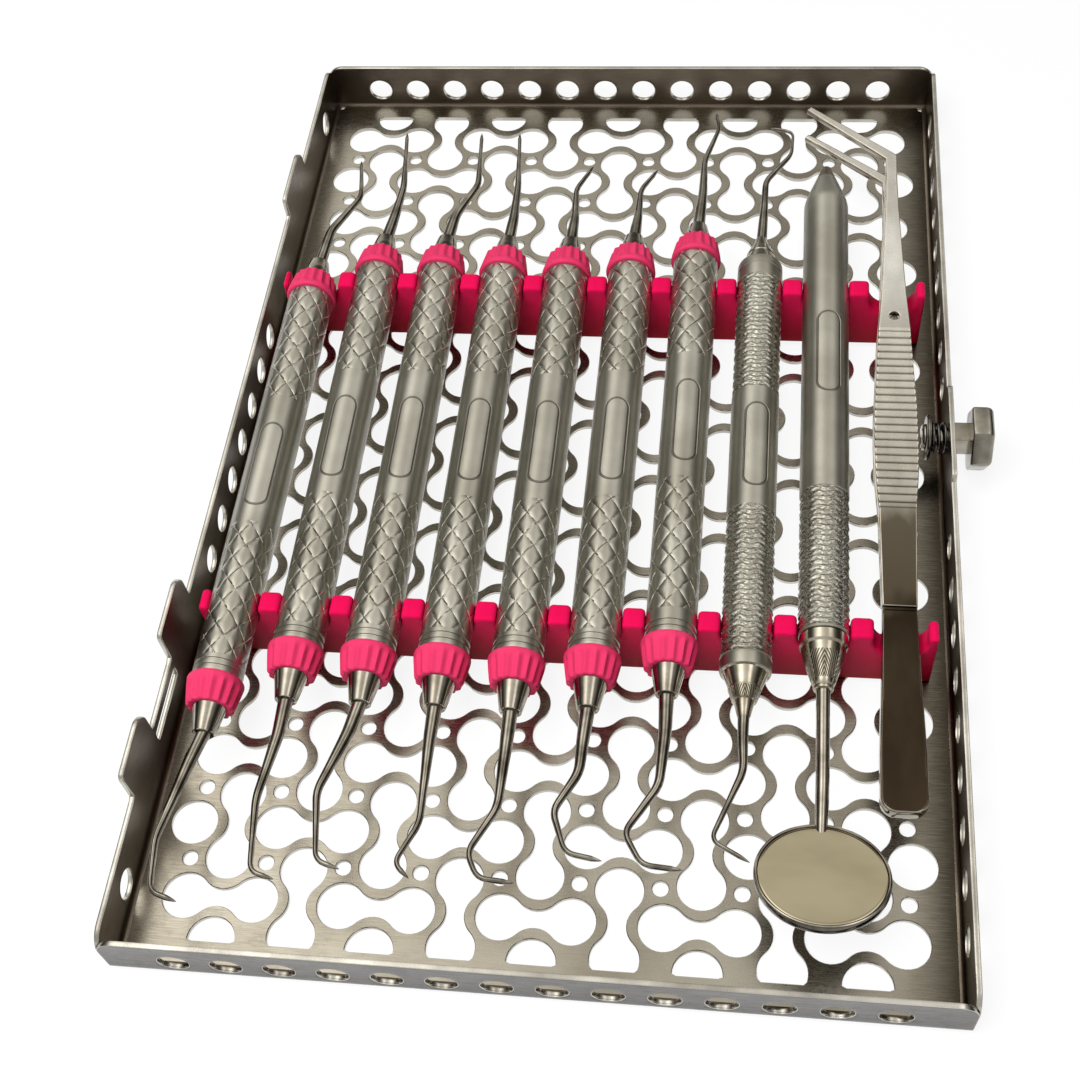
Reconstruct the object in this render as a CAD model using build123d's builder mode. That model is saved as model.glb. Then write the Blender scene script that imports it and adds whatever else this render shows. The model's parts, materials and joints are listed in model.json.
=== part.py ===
from build123d import *
import math
import os

# Dental instrument cassette: a perforated sheet tray with folded walls, two
# silicone racks, a spring latch, and the ten instruments that it carries.
# Millimetres. The origin is the centre of the tray's underside: X runs to the
# latch side, Y away from the open front end, Z up.

os.makedirs("parts", exist_ok=True)

# ---- Tray ----
pitch = 13.2                # grid of the perforated floor
columns, rows = 10, 14      # nodes of the grid across and along
sheet = 0.9                 # sheet thickness
tray_width = 136.8
tray_length = 211.0
wall_height = 11.0
bend_radius = 1.7           # outside of the folded bottom edge
corner_radius = 3.5         # top corners of each wall
relief_radius = 1.1         # round relief where two folds meet

# ---- Perforation of the floor: what repeats most has few sides ----
lobe_radius = 0.31 * pitch
lobe_offset = 0.443 * pitch     # lobe centre from the middle of its slot
lobe_points = 5                 # corners of one lobe's outline
lobe_sweep = 140                # degrees from a lobe's outer end to its last corner
waist_half_width = 0.115 * pitch
lone_lobe_sides = 6
perforated_half_length = 100.1  # the pattern is cut straight off here

# ---- Drain holes in the walls ----
wall_hole_radius = 2.55
wall_hole_sides = 6
wall_hole_height = sheet + 4.1
end_hole_count, end_hole_pitch = 14, 8.7
side_hole_count, side_hole_pitch = 21, 9.28
left_holes = [0, *range(7, 14), 20]             # none where the hinge tabs are
right_holes = [*range(0, 9), *range(12, 21)]    # none round the latch

# ---- Hinge tabs on the left wall: (front Y, rear Y, rise above the wall) ----
hinge_tabs = [(-80.0, -67.2, 7.0), (-53.2, -39.6, 7.0), (56.4, 72.6, 4.6)]
tab_rear_radius = 3.3
tab_front_radius = 1.2
hinge_slot_front, hinge_slot_rear = -67.2, -53.8    # strap slot between two tabs
hinge_slot_low, hinge_slot_high = 6.9, 9.1

# ---- Racks ----
slot_pitch = 12.8
slot_count = 10
rack_thickness = 4.0
rack_front_y, rack_back_y = -42.7, 35.1
rack_half_width = 63.8
rack_top = 14.8
slot_radius = 4.6
stretched_radius = 5.15     # a slot stretched round a grip ring
slot_sides = 12
tooth_chamfer = 1.2
end_tooth_chamfer = 0.4

# ---- Latch on the right wall ----
latch_y, latch_z = 3.2, 8.7
latch_hole_radius = 1.9
latch_shaft_radius = 1.6
latch_bore_radius = 1.75       # of the washer, which turns freely
latch_head_radius, latch_head_thickness = 2.5, 0.8
latch_neck_side = 4.4
latch_neck_length = 3.0
latch_knob_across = 10.4
latch_knob_thickness = 3.9
latch_knob_corner, latch_knob_chamfer = 1.3, 0.45
latch_washer_radius = 4.25
latch_washer_thickness = 0.9
latch_washer_gap = 3.2      # washer to the wall's inside
latch_wire_radius = 0.3
latch_coil_radius = 2.7
latch_sides = 16
latch_coil_turns = 3
coil_steps_per_turn = 10
latch_tab_front, latch_tab_rear, latch_tab_rise = -8.5, 13.5, 1.3

# ---- Handles: turned pieces repeat, so they have few sides ----
turned_sides = 16
handle_radius = 4.4
handle_z = 13.4             # axis of a handle that lies in the racks
grip_half_length = 44.4     # plain grip, from the middle to a ring
taper_half_length = 54.6    # to the end of the tapered socket
taper_end_radius = 1.5
ring_length = 6.6
ring_base_radius, ring_nose_radius = 4.95, 4.2
ring_flutes = 12

# ---- Working tips ----
shank_radius = 1.15
point_radius = 0.35
shank_sides = 6
shank_bend_radius = 2.2
tip_spans = 9               # straight spans along one curved tip

# Each scaler: Y of its handle's middle, then the bends of its front and rear
# tips as (distance right of the handle's axis, Y).
scalers = {
    1: (-14.2, [(-1.2, -74), (-3.7, -88), (-2.4, -97), (2.3, -98.4)],
        [(0.7, 50), (5.4, 60), (3.6, 71)]),
    2: (-7.1, [(0, -68), (-1.4, -80), (0.2, -92.6), (4.3, -93.6)],
        [(0.7, 54), (1.3, 63), (-0.5, 80)]),
    3: (-7.0, [(-1.0, -67), (-4.4, -78), (-2.4, -90), (1.7, -91.2)],
        [(0.8, 55), (4.4, 64), (3.2, 80)]),
    4: (-7.0, [(0, -68), (0.5, -82.6), (-2.6, -89.6), (0.2, -92)],
        [(0.3, 54), (0.1, 64), (-1.3, 80)]),
    5: (-7.1, [(0, -68), (-0.1, -79), (-4.0, -87), (-1.9, -91.2), (4.0, -91.6)],
        [(0.2, 55), (-0.3, 63), (2.8, 70)]),
    6: (-5.8, [(-0.3, -66), (-0.4, -72), (-4.0, -79), (-1.4, -86), (4.5, -87)],
        [(0.4, 56), (0.4, 63), (3.6, 69)]),
    7: (-2.4, [(0.2, -64), (-0.2, -73.4), (-5.2, -82), (-2.1, -87.2), (4.3, -87.7)],
        [(0.5, 62), (0.4, 72), (3.1, 82), (2.2, 87)]),
}

# ---- Explorer ----
explorer_number = 8
explorer_middle_y = -5.6
explorer_grip_half, explorer_taper_half = 44.0, 52.6
explorer_front_bends = [(0, -64), (0.3, -70), (-4.4, -82.3), (1.1, -85.2)]
explorer_rear_bends = [(0.3, 56), (0.5, 66), (5.6, 74), (5.9, 81), (1.0, 82.2)]

# ---- Mouth mirror ----
mirror_number = 9
mirror_grip_front, mirror_grip_rear = -44.5, 57.5
mirror_tail_y, mirror_tail_radius = 70.0, 0.9
socket_front_y, socket_rear_radius, socket_front_radius = -54.6, 4.1, 1.7
stem_radius = 1.1
stem_front_y = -77.6
mirror_y = -88.0
mirror_seat_z = 13.4        # underside of the cup at its middle
mirror_radius = 10.5
mirror_rim = 0.7            # wall of the cup round the glass
mirror_cup_height, mirror_glass_height = 2.4, 1.4
mirror_tilt = 8             # degrees, front edge raised

# ---- Cotton tweezers ----
tweezer_number = 10
tweezer_thickness = 1.3
tweezer_gap = 5.4           # between the arms at the elbow
tweezer_pin_height = 4.0
seat_clearance = 0.1
tweezer_butt_y, tweezer_root_y = -75.6, -37.0
tweezer_grip_y, tweezer_taper_y = 4.0, 58.0
tweezer_elbow_y = 69.4
tweezer_tip_x, tweezer_tip_y = 40.8, 83.4
tweezer_butt_width, tweezer_grip_width = 6.9, 7.7
tweezer_neck_width, tweezer_tip_width = 3.4, 1.2
tweezer_pin_y, tweezer_pin_radius, tweezer_pin_hole_radius = 27.2, 0.7, 1.15
tweezer_groove_count, tweezer_groove_pitch, tweezer_groove_depth = 24, 1.7, 0.3
tweezer_groove_front_y = -16.0
tweezer_pin_sides = 8


def slot_x(number):
    """X of one rack slot, counted from 1 at the hinge side."""
    return (number - (slot_count + 1) / 2) * slot_pitch


def finish(builder, name):
    """Label a finished piece and write its STEP file."""
    builder.part.label = name
    export_step(builder.part, f"parts/{name}.step")


# ================= Perforated floor =================
def lobe_outline(towards):
    """Corner points of one lobe, then the middle of the waist that follows it."""
    lobe_x = lobe_offset * math.cos(math.radians(towards))
    lobe_y = lobe_offset * math.sin(math.radians(towards))
    points = []
    for corner in range(lobe_points):
        angle = math.radians(towards - lobe_sweep + corner * 2 * lobe_sweep / (lobe_points - 1))
        points.append((lobe_x + lobe_radius * math.cos(angle),
                       lobe_y + lobe_radius * math.sin(angle)))
    waist = math.radians(towards + 90)
    points.append((waist_half_width * math.cos(waist), waist_half_width * math.sin(waist)))
    return points


def dog_bone(towards):
    """A two-lobed drain slot whose long axis points that way."""
    with BuildSketch() as bone:
        with BuildLine():
            Polyline(lobe_outline(towards) + lobe_outline(towards + 180), close=True)
        make_face()
    return bone.sketch


def cell_centres(parity):
    """Centres of the grid's cells of one colour of its chequerboard."""
    cells = []
    for column in range(columns - 1):
        for row in range(-2, rows + 1):
            if (column + row) % 2 == parity:
                x = (column + 1 - columns / 2) * pitch
                y = (row + 1 - rows / 2) * pitch
                cells.append((x, y))
    return cells


flat_width = tray_width - 2 * bend_radius
flat_length = tray_length - 2 * bend_radius
end_border = flat_length / 2 - perforated_half_length
lone_lobe_x = columns / 2 * pitch - lobe_offset

with BuildPart() as tray_floor:
    with BuildSketch():
        Rectangle(flat_width, flat_length)
        with Locations(*cell_centres(1)):
            add(dog_bone(0), mode=Mode.SUBTRACT)
        with Locations(*cell_centres(0)):
            add(dog_bone(90), mode=Mode.SUBTRACT)
        with GridLocations(2 * lone_lobe_x, 2 * pitch, 2, rows // 2):
            RegularPolygon(lobe_radius, lone_lobe_sides, mode=Mode.SUBTRACT)
        with GridLocations(0, flat_length - end_border, 1, 2):
            Rectangle(flat_width, end_border)
        with GridLocations(flat_width, flat_length, 2, 2):
            Circle(relief_radius, mode=Mode.SUBTRACT)
    extrude(amount=sheet)
finish(tray_floor, "tray_floor")


# ================= Folded walls =================
def wall_plane(outwards_x, outwards_y):
    """Outer face of one wall: x along it, y up, z outwards, from the underside."""
    reach = Vector(outwards_x * tray_width / 2, outwards_y * tray_length / 2, 0)
    outwards = Vector(outwards_x, outwards_y, 0)
    return Plane(origin=reach, x_dir=Vector(0, 0, 1).cross(outwards), z_dir=outwards)


def blank_wall(length):
    """Outline of a plain wall in its own plane, above the fold."""
    with BuildSketch() as blank:
        with Locations((0, bend_radius)):
            Rectangle(length, wall_height - bend_radius, align=(Align.CENTER, Align.MIN))
        fillet(blank.vertices().group_by(Axis.Y)[-1], corner_radius)
    return blank.sketch


def hole_row(count, hole_pitch, kept=None):
    """Places of a wall's drain holes, from its low end to its high end."""
    chosen = range(count) if kept is None else kept
    return [((k - (count - 1) / 2) * hole_pitch, wall_hole_height) for k in chosen]


def raise_tab(low, high, rise, low_radius, high_radius):
    """Sketch a tab that stands above the wall between two places along it."""
    with BuildSketch() as tab:
        with Locations((low, wall_height - corner_radius)):
            Rectangle(high - low, rise + corner_radius, align=(Align.MIN, Align.MIN))
        top = tab.vertices().group_by(Axis.Y)[-1].sort_by(Axis.X)
        fillet(top[0], low_radius)
        top = tab.vertices().group_by(Axis.Y)[-1].sort_by(Axis.X)
        fillet(top[-1], high_radius)
    return tab.sketch


def fold_wall(plane, length, outline):
    """Fold a wall up from the floor: its flat outline, its bend, its mitred ends."""
    across = Plane(origin=plane.origin, x_dir=plane.z_dir, z_dir=-plane.x_dir)
    with BuildPart() as wall:
        with BuildSketch(plane):
            add(outline)
        extrude(amount=-sheet)
        with BuildSketch(across):
            with Locations((-bend_radius, bend_radius)):
                Circle(bend_radius)
                Circle(bend_radius - sheet, mode=Mode.SUBTRACT)
                Rectangle(bend_radius, bend_radius,
                          align=(Align.MIN, Align.MAX), mode=Mode.INTERSECT)
        extrude(amount=length / 2, both=True)
        for end in (-1, 1):
            corner = plane.origin + plane.x_dir * (end * length / 2)
            mitre = Plane(origin=corner, z_dir=plane.x_dir * end - plane.z_dir)
            split(bisect_by=mitre, keep=Keep.BOTTOM)
    return wall


for name, side in (("wall_front", -1), ("wall_back", 1)):
    with BuildSketch() as outline:
        add(blank_wall(tray_width))
        with Locations(*hole_row(end_hole_count, end_hole_pitch)):
            RegularPolygon(wall_hole_radius, wall_hole_sides, mode=Mode.SUBTRACT)
    finish(fold_wall(wall_plane(0, side), tray_width, outline.sketch), name)

with BuildSketch() as right_outline:
    add(blank_wall(tray_length))
    add(raise_tab(latch_tab_front, latch_tab_rear, latch_tab_rise, 1.2, 1.2))
    with Locations(*hole_row(side_hole_count, side_hole_pitch, right_holes)):
        RegularPolygon(wall_hole_radius, wall_hole_sides, mode=Mode.SUBTRACT)
    with Locations((latch_y, latch_z)):
        Circle(latch_hole_radius, mode=Mode.SUBTRACT)
finish(fold_wall(wall_plane(1, 0), tray_length, right_outline.sketch), "wall_right")

with BuildSketch() as left_outline:
    add(blank_wall(tray_length))
    for front, rear, rise in hinge_tabs:
        add(raise_tab(-rear, -front, rise, tab_rear_radius, tab_front_radius))
    with Locations(*[(-x, z) for x, z in hole_row(side_hole_count, side_hole_pitch, left_holes)]):
        RegularPolygon(wall_hole_radius, wall_hole_sides, mode=Mode.SUBTRACT)
    with Locations((-hinge_slot_rear, hinge_slot_low)):
        Rectangle(hinge_slot_rear - hinge_slot_front, hinge_slot_high - hinge_slot_low,
                  align=(Align.MIN, Align.MIN), mode=Mode.SUBTRACT)
finish(fold_wall(wall_plane(-1, 0), tray_length, left_outline.sketch), "wall_left")


# ================= Silicone racks =================
def rack(middle_y, stretched):
    """A standing strip with round-bottomed slots and domed teeth between them."""
    with BuildPart() as strip:
        with BuildSketch(Plane.XZ.offset(-middle_y)) as profile:
            with Locations((0, sheet)):
                Rectangle(2 * rack_half_width, rack_top - sheet, align=(Align.CENTER, Align.MIN))
            for number in range(1, slot_count + 1):
                radius = stretched_radius if number in stretched else slot_radius
                with Locations((slot_x(number), handle_z)):
                    RegularPolygon(radius, slot_sides, major_radius=False, mode=Mode.SUBTRACT,
                                   rotation=180 / slot_sides)
                    Rectangle(2 * radius, rack_top, mode=Mode.SUBTRACT,
                              align=(Align.CENTER, Align.MIN))
            tops = profile.vertices().group_by(Axis.Y)[-1].sort_by(Axis.X)
            chamfer(tops[2:-2], tooth_chamfer)
            tops = profile.vertices().group_by(Axis.Y)[-1].sort_by(Axis.X)
            chamfer([tops[0], tops[1], tops[-2], tops[-1]], end_tooth_chamfer)
        extrude(amount=rack_thickness / 2, both=True)
    return strip


finish(rack(rack_front_y, []), "rack_front")
finish(rack(rack_back_y, [1]), "rack_back")


# ================= Spring latch =================
wall_outside = tray_width / 2
wall_inside = wall_outside - sheet
washer_x = wall_inside - latch_washer_gap - latch_washer_thickness
knob_x = wall_outside + latch_neck_length


def latch_plane(x):
    """Plane across the latch's axis at one X, facing outwards."""
    return Plane(origin=(x, latch_y, latch_z), x_dir=(0, 1, 0), z_dir=(1, 0, 0))


with BuildPart() as latch_shaft:
    with BuildSketch(latch_plane(washer_x - latch_head_thickness)):
        RegularPolygon(latch_head_radius, latch_sides)
    extrude(amount=latch_head_thickness)
    with BuildSketch(latch_plane(washer_x)):
        RegularPolygon(latch_shaft_radius, latch_sides)
    extrude(amount=wall_outside - washer_x)
    with BuildSketch(latch_plane(wall_outside)):
        Rectangle(latch_neck_side, latch_neck_side)
    extrude(amount=latch_neck_length)
finish(latch_shaft, "latch_shaft")

with BuildPart() as latch_washer:
    with BuildSketch(latch_plane(washer_x)):
        RegularPolygon(latch_washer_radius, latch_sides)
        RegularPolygon(latch_bore_radius, latch_sides, mode=Mode.SUBTRACT)
    extrude(amount=latch_washer_thickness)
finish(latch_washer, "latch_washer")

def coil_point(step, length):
    """One corner of the spring's coil, counted from the washer."""
    angle = math.tau * step / coil_steps_per_turn
    share = step / (latch_coil_turns * coil_steps_per_turn)
    x = washer_x + latch_washer_thickness + latch_wire_radius + share * length
    y = latch_y + latch_coil_radius * math.cos(angle)
    z = latch_z + latch_coil_radius * math.sin(angle)
    return (x, y, z)


with BuildPart() as latch_spring:
    coil_length = latch_washer_gap - 2 * latch_wire_radius
    with BuildLine() as coil:
        Polyline([coil_point(step, coil_length)
                  for step in range(latch_coil_turns * coil_steps_per_turn + 1)])
    with BuildSketch(Plane(origin=coil.line @ 0, x_dir=(1, 0, 0), z_dir=coil.line % 0)):
        Rectangle(1.6 * latch_wire_radius, 1.6 * latch_wire_radius)
    sweep(transition=Transition.RIGHT)
finish(latch_spring, "latch_spring")

with BuildPart() as latch_knob:
    with BuildSketch(latch_plane(knob_x)) as knob_outline:
        RegularPolygon(latch_knob_across / 2, 6, rotation=30)
        chamfer(knob_outline.vertices(), latch_knob_corner)
    extrude(amount=latch_knob_thickness)
    chamfer(latch_knob.faces().filter_by(Axis.X).edges(), latch_knob_chamfer)
finish(latch_knob, "latch_knob")


# ================= Handles, rings and tips =================
def handle_level(number):
    """Level plane through one slot's handle axis: x across, y along the handle."""
    return Plane(origin=(slot_x(number), 0, handle_z))


def turned(number, profile):
    """A turned piece on one slot's axis, from (radius, Y) stations front to rear."""
    with BuildPart() as piece:
        for radius, y in profile:
            with BuildSketch(Plane(origin=(slot_x(number), y, handle_z), z_dir=(0, 1, 0))):
                RegularPolygon(radius, turned_sides)
        loft(ruled=True)
    return piece


def handle(number, middle_y, grip_half, taper_half):
    """A straight grip whose two ends taper down to the shanks."""
    return turned(number, [
        (taper_end_radius, middle_y - taper_half), (handle_radius, middle_y - grip_half),
        (handle_radius, middle_y + grip_half), (taper_end_radius, middle_y + taper_half)])


def grip_rings(number, middle_y):
    """The fluted soft rings pushed over both tapers of one handle."""
    lean = (handle_radius - taper_end_radius) / (taper_half_length - grip_half_length)
    bore_nose = handle_radius - lean * ring_length
    with BuildPart() as rings:
        for end in (-1, 1):
            base = Plane(origin=(slot_x(number), middle_y + end * grip_half_length, handle_z),
                         x_dir=(1, 0, 0), z_dir=(0, end, 0))
            with BuildSketch(base):
                RegularPolygon(ring_base_radius, ring_flutes)
            with BuildSketch(base.offset(ring_length)):
                RegularPolygon(ring_nose_radius, ring_flutes)
            loft(ruled=True)
            with BuildSketch(base):
                RegularPolygon(handle_radius, ring_flutes, major_radius=False)
            with BuildSketch(base.offset(ring_length)):
                RegularPolygon(bore_nose, ring_flutes, major_radius=False)
            loft(ruled=True, mode=Mode.SUBTRACT)
    return rings


def bent_tip(number, start_y, bends):
    """A shank that starts at its socket's end, bends as listed and thins to a point."""
    route = [(0, start_y), *bends]
    socket_axis = Vector(0, math.copysign(1, bends[0][1] - start_y), 0)
    with BuildLine(handle_level(number)) as path:
        FilletPolyline(*route, radius=shank_bend_radius)
    with BuildPart() as tip:
        for station in range(tip_spans + 1):
            along = station / tip_spans
            heading = path.line % along if station else socket_axis
            radius = shank_radius + (point_radius - shank_radius) * along
            with BuildSketch(Plane(origin=path.line @ along, x_dir=(0, 0, 1), z_dir=heading)):
                RegularPolygon(radius, shank_sides)
        loft(ruled=True)
    return tip


for number, (middle_y, front_bends, rear_bends) in scalers.items():
    scaler = f"scaler_{number}"
    finish(handle(number, middle_y, grip_half_length, taper_half_length), f"{scaler}_handle")
    finish(grip_rings(number, middle_y), f"{scaler}_rings")
    finish(bent_tip(number, middle_y - taper_half_length, front_bends), f"{scaler}_tip_front")
    finish(bent_tip(number, middle_y + taper_half_length, rear_bends), f"{scaler}_tip_rear")

finish(handle(explorer_number, explorer_middle_y, explorer_grip_half, explorer_taper_half),
       "explorer_handle")
finish(bent_tip(explorer_number, explorer_middle_y - explorer_taper_half, explorer_front_bends),
       "explorer_tip_front")
finish(bent_tip(explorer_number, explorer_middle_y + explorer_taper_half, explorer_rear_bends),
       "explorer_tip_rear")


# ================= Mouth mirror =================
finish(turned(mirror_number, [
    (handle_radius, mirror_grip_front), (handle_radius, mirror_grip_rear),
    (mirror_tail_radius, mirror_tail_y)]), "mirror_handle")
finish(turned(mirror_number, [
    (socket_front_radius, socket_front_y), (socket_rear_radius, mirror_grip_front)]),
    "mirror_socket")
finish(turned(mirror_number, [
    (stem_radius, stem_front_y), (stem_radius, socket_front_y)]), "mirror_stem")

mirror_seat = Plane(origin=(slot_x(mirror_number), mirror_y, mirror_seat_z)).rotated(
    (-mirror_tilt, 0, 0))

with BuildPart() as mirror_cup:
    with BuildSketch(mirror_seat):
        Circle(mirror_radius)
    extrude(amount=mirror_cup_height)
    with BuildSketch(mirror_seat.offset(mirror_cup_height - mirror_glass_height)):
        Circle(mirror_radius - mirror_rim)
    extrude(amount=mirror_glass_height, mode=Mode.SUBTRACT)
finish(mirror_cup, "mirror_cup")

with BuildPart() as mirror_glass:
    with BuildSketch(mirror_seat.offset(mirror_cup_height - mirror_glass_height)):
        Circle(mirror_radius - mirror_rim)
    extrude(amount=mirror_glass_height)
finish(mirror_glass, "mirror_glass")


# ================= Cotton tweezers =================
def seat_z(half_width):
    """Height at which a flat arm of that half width comes to rest in a rack slot."""
    return handle_z - math.sqrt(slot_radius ** 2 - half_width ** 2) + seat_clearance


def arm_half_width(y):
    """Half of the arm's width at one Y, along its front and its rear taper."""
    if y < tweezer_grip_y:
        share = (y - tweezer_root_y) / (tweezer_grip_y - tweezer_root_y)
        return (tweezer_butt_width + max(share, 0) * (tweezer_grip_width - tweezer_butt_width)) / 2
    share = (y - tweezer_grip_y) / (tweezer_taper_y - tweezer_grip_y)
    return (tweezer_grip_width + share * (tweezer_neck_width - tweezer_grip_width)) / 2


front_seat_z = seat_z(arm_half_width(rack_front_y))
back_seat_z = seat_z(arm_half_width(rack_back_y))
arm_slope = (back_seat_z - front_seat_z) / (rack_back_y - rack_front_y)
root_z = front_seat_z + arm_slope * (tweezer_root_y - rack_front_y)
arm_tilt = math.degrees(math.atan(arm_slope))
arm_rise = math.degrees(math.atan(tweezer_gap / (tweezer_elbow_y - tweezer_root_y)))
tweezer_x = slot_x(tweezer_number)

lower_level = Plane(origin=(tweezer_x, tweezer_root_y, root_z)).rotated((arm_tilt, 0, 0))
lower_top = lower_level.offset(tweezer_thickness)
upper_level = lower_top.rotated((arm_rise, 0, 0))


def arm_outline(start):
    """Plan of one arm from its root to the point of its bent beak."""
    taper = tweezer_taper_y - tweezer_root_y
    elbow = tweezer_elbow_y - tweezer_root_y
    grip = tweezer_grip_y - tweezer_root_y
    beak = Vector(tweezer_tip_x - tweezer_x, tweezer_tip_y - tweezer_elbow_y)
    across = Vector(-beak.Y, beak.X).normalized() * (tweezer_tip_width / 2)
    tip = Vector(beak.X, tweezer_tip_y - tweezer_root_y)
    with BuildSketch() as plan:
        with BuildLine():
            Polyline(
                (-tweezer_butt_width / 2, start), (tweezer_butt_width / 2, start),
                (tweezer_grip_width / 2, grip), (tweezer_neck_width / 2, taper),
                (tweezer_neck_width / 2, elbow + tweezer_neck_width / 2),
                tip - across, tip + across,
                (-tweezer_neck_width / 2, elbow - tweezer_neck_width / 2),
                (-tweezer_neck_width / 2, taper), (-tweezer_grip_width / 2, grip), close=True)
        make_face()
    return plan.sketch


with BuildPart() as tweezer_lower_arm:
    with BuildSketch(lower_level):
        add(arm_outline(0))
    extrude(amount=tweezer_thickness)
    with BuildSketch(lower_level) as butt:
        butt_length = tweezer_root_y - tweezer_butt_y
        Rectangle(tweezer_butt_width, butt_length, align=(Align.CENTER, Align.MAX))
        chamfer(butt.vertices().group_by(Axis.Y)[0], 2.2)
    extrude(amount=2 * tweezer_thickness)
finish(tweezer_lower_arm, "tweezer_lower_arm")

root_relief = tweezer_thickness * math.tan(math.radians(arm_rise)) + 0.02

with BuildPart() as tweezer_upper_arm:
    with BuildSketch(upper_level):
        add(arm_outline(root_relief))
    extrude(amount=tweezer_thickness)
    with BuildSketch(upper_level.offset(tweezer_thickness)):
        groove_middle = tweezer_groove_front_y - tweezer_root_y + \
            (tweezer_groove_count - 1) * tweezer_groove_pitch / 2
        with Locations((0, groove_middle)):
            with GridLocations(0, tweezer_groove_pitch, 1, tweezer_groove_count):
                Rectangle(2 * tweezer_grip_width, tweezer_groove_pitch / 2)
    extrude(amount=-tweezer_groove_depth, mode=Mode.SUBTRACT)
    with BuildSketch(lower_top):
        with Locations((0, tweezer_pin_y - tweezer_root_y)):
            Circle(tweezer_pin_hole_radius)
    extrude(amount=2 * tweezer_gap, mode=Mode.SUBTRACT)
finish(tweezer_upper_arm, "tweezer_upper_arm")

with BuildPart() as tweezer_guide_pin:
    with BuildSketch(lower_top):
        with Locations((0, tweezer_pin_y - tweezer_root_y)):
            RegularPolygon(tweezer_pin_radius, tweezer_pin_sides)
    extrude(amount=tweezer_pin_height)
finish(tweezer_guide_pin, "tweezer_guide_pin")

print("squeeze hinge at", lower_top.origin, "rise", round(arm_rise, 3), "degrees")
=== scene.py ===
# %% [markdown]
# # A dental instrument cassette
# The object is a shallow tray of perforated stainless sheet. Two red silicone
# racks stand across it and hold ten steel hand instruments side by side. A
# spring latch sits in the right wall, and three tabs on the left wall carry
# the hinge of a lid. The engineering frame fixes every size and every joint,
# so this lesson only makes the surfaces and their finishes.

# %% Load the frame
import json
import math

import bpy
import numpy as np
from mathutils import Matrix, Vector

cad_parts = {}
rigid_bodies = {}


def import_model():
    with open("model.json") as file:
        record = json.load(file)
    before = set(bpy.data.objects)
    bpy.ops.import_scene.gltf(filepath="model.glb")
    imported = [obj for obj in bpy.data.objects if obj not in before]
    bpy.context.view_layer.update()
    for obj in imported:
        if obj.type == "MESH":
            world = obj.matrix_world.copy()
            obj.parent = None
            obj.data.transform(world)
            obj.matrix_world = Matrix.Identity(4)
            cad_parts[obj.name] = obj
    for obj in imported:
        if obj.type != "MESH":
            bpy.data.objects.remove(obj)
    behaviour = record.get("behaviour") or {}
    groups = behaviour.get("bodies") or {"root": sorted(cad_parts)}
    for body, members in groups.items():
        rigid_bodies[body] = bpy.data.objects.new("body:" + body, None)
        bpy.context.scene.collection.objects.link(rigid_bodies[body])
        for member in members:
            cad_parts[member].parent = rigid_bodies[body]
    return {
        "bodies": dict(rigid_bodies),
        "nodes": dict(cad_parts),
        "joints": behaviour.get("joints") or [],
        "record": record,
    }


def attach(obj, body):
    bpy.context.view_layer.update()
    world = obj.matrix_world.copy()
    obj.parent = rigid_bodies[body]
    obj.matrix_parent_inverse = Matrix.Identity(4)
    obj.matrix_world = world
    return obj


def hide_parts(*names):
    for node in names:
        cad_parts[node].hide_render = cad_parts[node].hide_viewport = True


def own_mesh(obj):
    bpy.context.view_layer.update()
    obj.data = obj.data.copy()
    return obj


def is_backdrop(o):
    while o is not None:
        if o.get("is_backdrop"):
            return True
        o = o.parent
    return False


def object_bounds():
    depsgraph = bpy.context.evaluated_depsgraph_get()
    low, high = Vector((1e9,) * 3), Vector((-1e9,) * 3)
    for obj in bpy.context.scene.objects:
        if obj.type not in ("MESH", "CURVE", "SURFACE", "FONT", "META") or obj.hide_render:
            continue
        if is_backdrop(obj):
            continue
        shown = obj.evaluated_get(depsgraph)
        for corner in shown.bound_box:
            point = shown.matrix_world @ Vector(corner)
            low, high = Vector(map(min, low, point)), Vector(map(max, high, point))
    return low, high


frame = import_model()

MM = 0.001
frame_box = [list(corner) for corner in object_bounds()]
print("frame box in millimetres:", [[round(v / MM, 2) for v in corner] for corner in frame_box])

# %% [markdown]
# ## Driving dimensions
# The tray comes first, and everything else hangs on it. Its size and the
# places of the instruments could be read back from the frame's solids, but a
# few named values, in the frame's own millimetres, are easier to read.

# %% Driving dimensions
TRAY_X, TRAY_Y = 68.4, 105.5
WALL_TOP, BEND, SHEET = 11.0, 1.7, 0.9
FLOOR_X, FLOOR_Y = TRAY_X - BEND, TRAY_Y - BEND
HANDLE_Z, GRIP_RADIUS, SLOT_PITCH = 13.4, 4.4, 12.8
LATCH_Y, LATCH_Z = 3.2, 8.7


def slot_x(number):
    """Where slot number 1 to 10 lies across the tray."""
    return (number - 5.5) * SLOT_PITCH


print("floor half sizes:", FLOOR_X, FLOOR_Y, "slots from", slot_x(1), "to", slot_x(10))

# %% [markdown]
# ## From arrays to a mesh
# Each new piece is a surface worked out with whole arrays. A mesh could also
# be pushed and pulled by hand or built with modelling operators, but a
# formula keeps every size exact and easy to change. Two arrays describe any
# mesh: the points, and the corner numbers of the faces. The arrays are in
# millimetres, and the one function that makes the mesh turns them to metres.

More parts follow.
